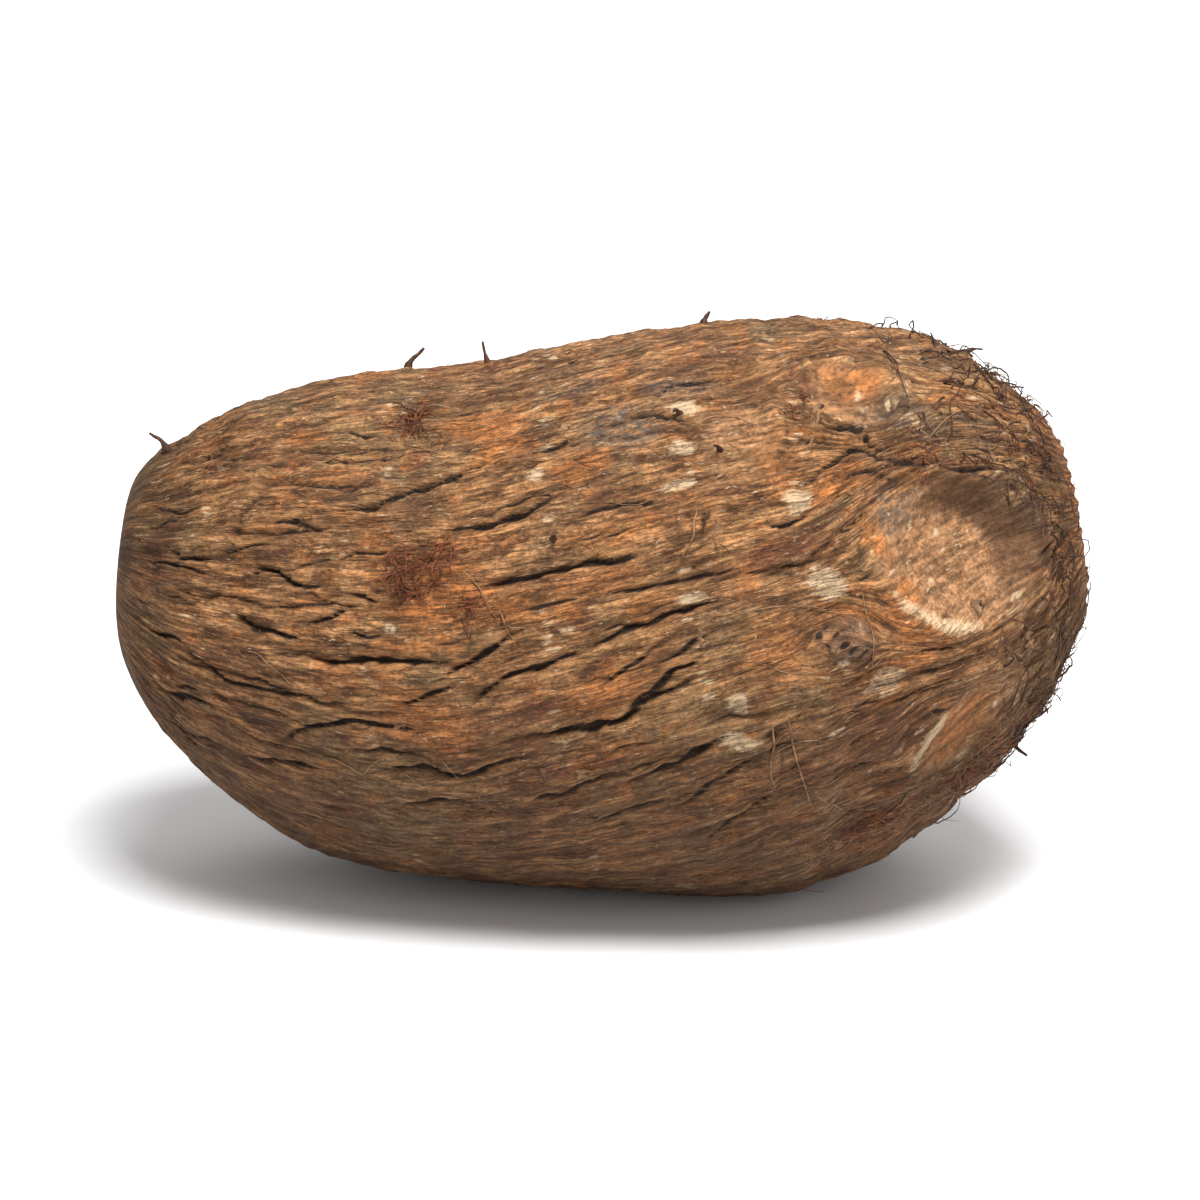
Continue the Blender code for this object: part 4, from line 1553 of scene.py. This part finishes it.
@dataclass
class Effects:
    """Shared effects, each a node group that is built once."""

    def __post_init__(self) -> None:
        """Builds every group."""
        self.grain = self.fibre_grain()
        self.blotches = self.blotch_mask()
        self.dashes = self.dash_mask()
        self.soil = self.soil_and_hollow_shade_mask()

    def start(
        self, name: str, inputs: dict, outputs: tuple[str, ...]
    ) -> tuple[Graph, bpy.types.Node, bpy.types.Node]:
        """Makes an empty group with named sockets.

        Args:
            name: The group's name.
            inputs: Default value of each input by name, or None for a vector.
            outputs: Names of its outputs.

        Returns:
            The group's graph, its input node and its output node.
        """
        tree = bpy.data.node_groups.new(name, "ShaderNodeTree")
        for key, value in inputs.items():
            kind = "NodeSocketVector" if value is None else "NodeSocketFloat"
            socket = tree.interface.new_socket(key, in_out="INPUT", socket_type=kind)
            if value is not None:
                socket.default_value = value
        for key in outputs:
            tree.interface.new_socket(key, in_out="OUTPUT", socket_type="NodeSocketFloat")
        graph = Graph(tree)
        return graph, graph.add("NodeGroupInput"), graph.add("NodeGroupOutput")

    def fibre_grain(self) -> bpy.types.NodeTree:
        """Returns streaks that run along the grain, and thin lines between them."""
        inputs = {"Vector": None, "Length": 8.0, "Width": 0.8}
        graph, given, result = self.start("fibre_grain", inputs, ("Streaks", "Lines"))
        vector = graph.stretch(given.outputs["Vector"], given.outputs["Length"], given.outputs["Width"])
        streaks = graph.noise(vector, 1.0, 5.0, 0.62)
        away = graph.math("ABSOLUTE", graph.minus(graph.noise(vector, 0.7, 3.0, 0.6), 0.5))
        lines = graph.step(away, 0.0, 0.03, 1.0, 0.0)
        graph.tree.links.new(streaks, result.inputs["Streaks"])
        graph.tree.links.new(lines, result.inputs["Lines"])
        return graph.tree

    def blotch_mask(self) -> bpy.types.NodeTree:
        """Returns patches of one size with ragged edges."""
        inputs = {"Vector": None, "Size": 8.0, "Low": 0.45, "High": 0.6}
        graph, given, result = self.start("blotches", inputs, ("Mask",))
        size = given.outputs["Size"]
        value = graph.noise(graph.stretch(given.outputs["Vector"], size, size), 1.0, 6.0, 0.66)
        mask = graph.step(value, given.outputs["Low"], given.outputs["High"])
        graph.tree.links.new(mask, result.inputs["Mask"])
        return graph.tree

    def dash_mask(self) -> bpy.types.NodeTree:
        """Returns short pale dashes side by side along a ring."""
        inputs = {"Vector": None, "Offset": 9.0, "Spacing": 1.0, "Reach": 1.2}
        graph, given, result = self.start("ring_dashes", inputs, ("Mask",))
        vector = graph.stretch(given.outputs["Vector"], 2.6, given.outputs["Spacing"])
        cells = graph.add("ShaderNodeTexVoronoi", {"Vector": vector, "Scale": 1.0, "Randomness": 0.85})
        torn = graph.noise(graph.stretch(given.outputs["Vector"], 0.6, 0.35), 1.0, 3.0, 0.6)
        distance = graph.plus(cells.outputs["Distance"], graph.times(torn, 0.5))
        dash = graph.step(distance, 0.42, 0.66, 1.0, 0.0)
        near = graph.math("ABSOLUTE", given.outputs["Offset"])
        reach = given.outputs["Reach"]
        inner, outer = graph.times(reach, 0.6), graph.times(reach, 1.2)
        band = graph.step(near, inner, outer, 1.0, 0.0)
        graph.tree.links.new(graph.times(dash, band), result.inputs["Mask"])
        return graph.tree

    def soil_and_hollow_shade_mask(self) -> bpy.types.NodeTree:
        """Returns fine soil in small spots, with painted shade in the dips that it is given."""
        inputs = {"Vector": None, "HollowShade": 0.0, "Amount": 0.5}
        graph, given, result = self.start("soil", inputs, ("Mask",))
        spots = graph.noise(graph.stretch(given.outputs["Vector"], 0.8, 0.8), 1.0, 5.0, 0.7)
        spots = graph.step(spots, 0.55, 0.66)
        both = graph.larger(spots, given.outputs["HollowShade"])
        mask = graph.times(both, given.outputs["Amount"])
        graph.tree.links.new(mask, result.inputs["Mask"])
        return graph.tree


# Finishes


@dataclass(frozen=True)
class SkinFinish:
    """Dry, fibrous brown skin with cracks, pale ring dashes and patches."""

    brown: Colour = (0.098, 0.038, 0.0125, 1.0)
    tan: Colour = (0.390, 0.190, 0.074, 1.0)
    olive: Colour = (0.190, 0.118, 0.052, 1.0)
    umber: Colour = (0.142, 0.060, 0.024, 1.0)
    orange: Colour = (0.380, 0.130, 0.031, 1.0)
    crack: Colour = (0.014, 0.007, 0.004, 1.0)
    cream: Colour = (0.660, 0.475, 0.285, 1.0)
    red: Colour = (0.125, 0.036, 0.015, 1.0)
    mould: Colour = (0.098, 0.082, 0.066, 1.0)
    scar_tan: Colour = (0.375, 0.195, 0.090, 1.0)
    scar_brown: Colour = (0.190, 0.090, 0.038, 1.0)
    # dark brown for thin lines, dark patches, soil and painted shade
    dark: Colour = (0.046, 0.020, 0.009, 1.0)
    fine_shade: tuple[float, float] = (0.52, 1.50)
    grit_shade: tuple[float, float] = (0.70, 1.30)
    # how far the lips are mixed towards tan, a painted highlight
    lip_highlight_share: float = 0.5
    specular: float = 0.3
    bump: float = 0.00045

    def material(self, effects: Effects) -> bpy.types.Material:
        """Returns the skin's material."""
        material = bpy.data.materials.new("corm_skin")
        material.use_nodes = True
        graph = Graph(material.node_tree)
        shader = material.node_tree.nodes["Principled BSDF"]
        grain = graph.add("ShaderNodeAttribute", attribute_name="grain").outputs["Vector"]
        spot = graph.millimetres()

        streaks = {"coarse": (5.0, 1.5), "fine": (2.6, 0.45), "lines": (6.0, 1.6), "hair": (4.0, 0.55)}
        made = {}
        for name, (length, width) in streaks.items():
            output = "Lines" if name in ("lines", "hair") else "Streaks"
            inputs = {"Vector": grain, "Length": length, "Width": width}
            made[name] = graph.group(effects.grain, inputs, output)
        coarse, fine = made["coarse"], made["fine"]
        grit = graph.noise(graph.stretch(spot, 0.5, 0.5), 1.0, 4.0, 0.65)

        colour = self.ground(graph, effects, spot, grain, coarse)
        colour = self.patches(graph, colour, coarse, fine, spot)
        colour = self.crown_colours(graph, effects, colour, grain, fine)
        colour = graph.shaded(colour, graph.step(fine, 0.31, 0.69, *self.fine_shade))
        colour = graph.shaded(colour, graph.step(grit, 0.33, 0.67, *self.grit_shade))
        # Painted highlight: the lips beside cracks and above ledges are mixed towards tan.
        colour = graph.mix(graph.times(graph.layer("lip"), self.lip_highlight_share), colour, self.tan)
        colour = self.pale_marks(graph, effects, colour, grain, fine, grit)
        colour = self.dark_marks(graph, effects, colour, spot, grit, made)
        graph.tree.links.new(colour, shader.inputs["Base Color"])

        graph.tree.links.new(graph.step(fine, 0.3, 0.7, 0.92, 0.68), shader.inputs["Roughness"])
        rough_part = graph.minus(1.0, graph.times(graph.layer("smooth"), 0.7))
        raised = graph.plus(graph.times(fine, 0.75), graph.times(coarse, 0.7))
        cut = graph.times(made["hair"], 0.22)
        cut = graph.plus(cut, graph.times(made["lines"], 0.3))
        total = graph.times(graph.minus(raised, cut), rough_part)
        total = graph.plus(total, graph.times(grit, 0.55))
        bump = graph.add("ShaderNodeBump", {"Height": total, "Distance": self.bump, "Strength": 1.0})
        graph.tree.links.new(bump.outputs["Normal"], shader.inputs["Normal"])
        shader.inputs["Specular IOR Level"].default_value = self.specular
        return material

    def ground(
        self, graph: Graph, effects: Effects, spot: object, grain: object, coarse: object
    ) -> bpy.types.NodeSocket:
        """Returns the skin's ground colour: tan and brown, with olive and orange areas."""
        colour = graph.mix(graph.step(coarse, 0.39, 0.62), self.brown, self.tan)
        areas = ((15.0, 0.47, 0.60, 0.62, self.olive, spot), (10.0, 0.50, 0.62, 0.55, self.umber, grain))
        areas += ((4.6, 0.51, 0.63, 0.50, self.orange, grain),)
        for size, low, high, share, tone, vector in areas:
            inputs = {"Vector": vector, "Size": size, "Low": low, "High": high}
            mask = graph.group(effects.blotches, inputs, "Mask")
            colour = graph.mix(graph.times(mask, share), colour, tone)
        return colour

    def patches(
        self, graph: Graph, colour: object, coarse: object, fine: object, spot: object
    ) -> bpy.types.NodeSocket:
        """Returns the colour with scars, warm and red patches and mould added."""
        speckle = graph.noise(graph.stretch(spot, 0.9, 0.9), 1.0, 4.0, 0.7)
        scar = graph.mix(graph.step(speckle, 0.36, 0.66), self.scar_brown, self.scar_tan)
        scar = graph.mix(graph.step(coarse, 0.5, 0.8, 0.0, 0.35), scar, self.orange)
        colour = graph.mix(graph.times(graph.layer("smooth"), 0.85), colour, scar)
        warm = graph.times(graph.layer("warm"), graph.step(fine, 0.25, 0.6, 0.25, 0.85))
        colour = graph.mix(warm, colour, self.orange)
        red = graph.times(graph.layer("red"), graph.step(coarse, 0.3, 0.6, 0.3, 0.85))
        colour = graph.mix(red, colour, self.red)
        mould = graph.noise(graph.stretch(spot, 1.3, 1.3), 1.0, 5.0, 0.7)
        grey = graph.times(graph.layer("grey"), graph.step(mould, 0.38, 0.6, 0.15, 0.9))
        return graph.mix(grey, colour, self.mould)

    def crown_colours(
        self, graph: Graph, effects: Effects, colour: object, grain: object, fine: object
    ) -> bpy.types.NodeSocket:
        """Returns the colour with the crown's radial streaks added."""
        inputs = {"Vector": grain, "Length": 30.0, "Width": 2.0}
        streaks = graph.group(effects.grain, inputs, "Streaks")
        face = graph.mix(graph.step(streaks, 0.38, 0.6), self.brown, self.orange)
        face = graph.mix(graph.step(fine, 0.45, 0.7, 0.0, 0.5), face, self.tan)
        return graph.mix(graph.layer("crown"), colour, face)

    def pale_marks(
        self, graph: Graph, effects: Effects, colour: object, grain: object, fine: object, grit: object
    ) -> bpy.types.NodeSocket:
        """Returns the colour with cream ring dashes and flaky pale patches added."""
        inputs = {"Vector": grain, "Offset": graph.layer("ring"), "Spacing": 1.0, "Reach": 1.6}
        dashes = graph.group(effects.dashes, inputs, "Mask")
        inputs = {"Vector": grain, "Size": 4.2, "Low": 0.49, "High": 0.57}
        broken = graph.group(effects.blotches, inputs, "Mask")
        share = graph.times(dashes, graph.times(broken, 0.75))
        colour = graph.mix(share, colour, self.cream)
        flecks = graph.noise(graph.stretch(grain, 1.1, 0.4), 1.0, 3.0, 0.6)
        colour = graph.mix(graph.step(flecks, 0.61, 0.72, 0.0, 0.55), colour, self.cream)
        torn = graph.plus(graph.times(fine, 0.6), graph.times(grit, 0.4))
        pale = graph.layer("pale")
        edge = graph.plus(torn, graph.times(pale, 0.55))
        share = graph.times(graph.step(edge, 0.78, 1.14), graph.step(pale, 0.02, 0.2))
        return graph.mix(graph.times(share, 0.92), colour, self.cream)

    def dark_marks(
        self, graph: Graph, effects: Effects, colour: object, spot: object, grit: object, made: dict
    ) -> bpy.types.NodeSocket:
        """Returns the colour with thin lines, painted shade, cracks, soil and painted shade in dips
        added.
        """
        rough_part = graph.minus(1.0, graph.layer("smooth"))
        lines, hair = graph.times(made["lines"], 0.52), graph.times(made["hair"], 0.40)
        thin = graph.times(graph.larger(lines, hair), rough_part)
        colour = graph.mix(thin, colour, self.dark)
        # Painted shade and shadow from the dark mask, together with the dark patches of skin.
        colour = graph.mix(graph.times(graph.layer("dark"), 0.78), colour, self.dark)
        depth = graph.layer("crack")
        colour = graph.mix(graph.step(depth, 0.05, 0.6, 0.0, 0.4), colour, self.dark)
        ragged = graph.minus(graph.plus(made["fine"], grit), 1.0)
        ragged = graph.times(ragged, 0.7)
        crack = graph.step(graph.plus(depth, ragged), 0.36, 0.62)
        colour = graph.mix(graph.times(crack, 0.93), colour, self.crack)
        # Painted shade in the dips of the fine relief, together with soil spots.
        hollow_shade = graph.times(graph.layer("hollow_shade"), 0.8)
        inputs = {"Vector": spot, "HollowShade": hollow_shade, "Amount": 0.5}
        soil = graph.group(effects.soil, inputs, "Mask")
        return graph.mix(soil, colour, self.dark)


@dataclass(frozen=True)
class FibreFinish:
    """Dry plant fibre, from dark to light along and between strands."""

    name: str
    dark: Colour
    light: Colour
    roughness: float = 0.7
    specular: float = 0.3
    bump: float = 0.0001

    def material(self, effects: Effects) -> bpy.types.Material:
        """Returns the fibre's material."""
        material = bpy.data.materials.new(self.name)
        material.use_nodes = True
        graph = Graph(material.node_tree)
        shader = material.node_tree.nodes["Principled BSDF"]
        spot = graph.millimetres()
        inputs = {"Vector": spot, "Size": 1.8, "Low": 0.36, "High": 0.64}
        tone = graph.group(effects.blotches, inputs, "Mask")
        inputs = {"Vector": spot, "Length": 1.2, "Width": 0.3}
        streaks = graph.group(effects.grain, inputs, "Streaks")
        colour = graph.mix(tone, self.dark, self.light)
        colour = graph.mix(graph.step(streaks, 0.35, 0.65, 0.0, 0.5), colour, self.dark)
        soil = graph.group(effects.soil, {"Vector": spot, "Amount": 0.3}, "Mask")
        colour = graph.mix(soil, colour, self.dark)
        graph.tree.links.new(colour, shader.inputs["Base Color"])
        rough = graph.step(streaks, 0.3, 0.7, self.roughness + 0.15, self.roughness - 0.1)
        graph.tree.links.new(rough, shader.inputs["Roughness"])
        bump = graph.add("ShaderNodeBump", {"Height": streaks, "Distance": self.bump, "Strength": 0.8})
        graph.tree.links.new(bump.outputs["Normal"], shader.inputs["Normal"])
        shader.inputs["Specular IOR Level"].default_value = self.specular
        return material


DARK_FIBRE = FibreFinish("dark_fibre", (0.022, 0.010, 0.006, 1.0), (0.140, 0.058, 0.024, 1.0))
RED_FIBRE = FibreFinish("red_fibre", (0.060, 0.018, 0.009, 1.0), (0.260, 0.080, 0.028, 1.0))
PALE_FIBRE = FibreFinish("pale_fibre", (0.110, 0.050, 0.022, 1.0), (0.360, 0.210, 0.105, 1.0))


@dataclass(frozen=True)
class FloorFinish:
    """Plain pale matte board."""

    colour: Colour = (0.86, 0.86, 0.86, 1.0)
    roughness: float = 0.9

    def material(self) -> bpy.types.Material:
        """Returns the floor's material."""
        material = bpy.data.materials.new("studio_floor")
        material.use_nodes = True
        shader = material.node_tree.nodes["Principled BSDF"]
        shader.inputs["Base Color"].default_value = self.colour
        shader.inputs["Roughness"].default_value = self.roughness
        return material


# Studio


@dataclass(frozen=True)
class Light:
    """A soft square light: where it stands, its side in metres and its power in watts."""

    name: str
    place: tuple[float, float, float]
    side: float
    power: float


LIGHTS = (
    Light("key", (0.12, -0.28, 0.88), 0.42, 12.5),
    Light("fill", (0.60, -0.60, 0.34), 0.60, 1.6),
    Light("back", (0.25, 0.60, 0.60), 0.55, 2.5),
)


@dataclass
class Studio:
    """Floor, soft lights and camera."""

    elevation: float = 20.0
    distance: float = 1.5
    frame_width: float = 0.138
    sensor: float = 36.0
    floor_half: float = 2.0
    aim_height: float = 0.03
    world_strength: float = 0.42

    def build(self, finish: FloorFinish) -> None:
        """Makes the floor, the lights, the world and the camera."""
        bpy.ops.object.select_all(action="DESELECT")
        bpy.ops.mesh.primitive_plane_add(size=2 * self.floor_half)
        floor = bpy.context.object
        floor.name = "studio_floor"
        floor.data.materials.append(finish.material())
        for light in LIGHTS:
            self.hang(light)
        world = bpy.data.worlds.new("studio")
        world.use_nodes = True
        sky = world.node_tree.nodes["Background"]
        sky.inputs["Color"].default_value = (1.0, 1.0, 1.0, 1.0)
        sky.inputs["Strength"].default_value = self.world_strength
        bpy.context.scene.world = world
        bpy.context.scene.view_settings.view_transform = "Standard"
        self.camera()

    def hang(self, light: Light) -> None:
        """Adds a light that faces the corm."""
        data = bpy.data.lights.new(light.name, "AREA")
        data.size, data.energy = light.side, light.power
        lamp = bpy.data.objects.new(light.name, data)
        lamp.location = light.place
        aim = Vector((0, 0, self.aim_height)) - Vector(light.place)
        lamp.rotation_euler = aim.to_track_quat("-Z", "Y").to_euler()
        bpy.context.scene.collection.objects.link(lamp)

    def camera(self) -> None:
        """Adds the camera at the picture's angle, with a long lens."""
        low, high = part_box(NODE)
        middle = (low + high) / 2
        tilt = math.radians(self.elevation)
        back = Vector((0.0, -math.cos(tilt), math.sin(tilt)))
        data = bpy.data.cameras.new("camera")
        data.sensor_width = self.sensor
        data.lens = self.sensor * self.distance / self.frame_width
        camera = bpy.data.objects.new("camera", data)
        camera.location = middle + back * self.distance
        camera.rotation_euler = (-back).to_track_quat("-Z", "Y").to_euler()
        bpy.context.scene.collection.objects.link(camera)
        bpy.context.scene.camera = camera


def finish_piece(piece: bpy.types.Object) -> None:
    """Makes a piece ride with the corm and reports it."""
    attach(piece, BODY)
    faces = sum(len(p.vertices) - 2 for p in piece.data.polygons)
    log.info("%s: %d triangles", piece.name, faces)


def main() -> None:
    """Builds every piece in order."""
    logging.basicConfig(level=logging.INFO, format="%(name)s: %(message)s")
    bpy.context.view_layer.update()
    bpy.ops.object.select_all(action="DESELECT")
    effects = Effects()
    form = Form()
    stubs = RootStubs(form)
    marks = Marks(form)
    marks.stub_sites = stubs.sites(marks.rings)
    skin = Skin(form, marks)
    finish_piece(skin.build(SkinFinish().material(effects)))

    dark, red, pale = (finish.material(effects) for finish in (DARK_FIBRE, RED_FIBRE, PALE_FIBRE))
    finish_piece(stubs.build(skin, dark))
    finish_piece(SheathFlakes(skin).build(pale))
    pelt = Pelt(skin)
    families = (
        (pelt.ring_fibres, red),
        (pelt.tufts, red),
        (pelt.stray_hairs, pale),
        (pelt.strands, pale),
        (pelt.crown_fringe, dark),
        (pelt.crown_tuft, dark),
    )
    for lay_out, material in families:
        finish_piece(lay_out().build(material))

    Studio().build(FloorFinish())


if __name__ == "__main__":
    main()
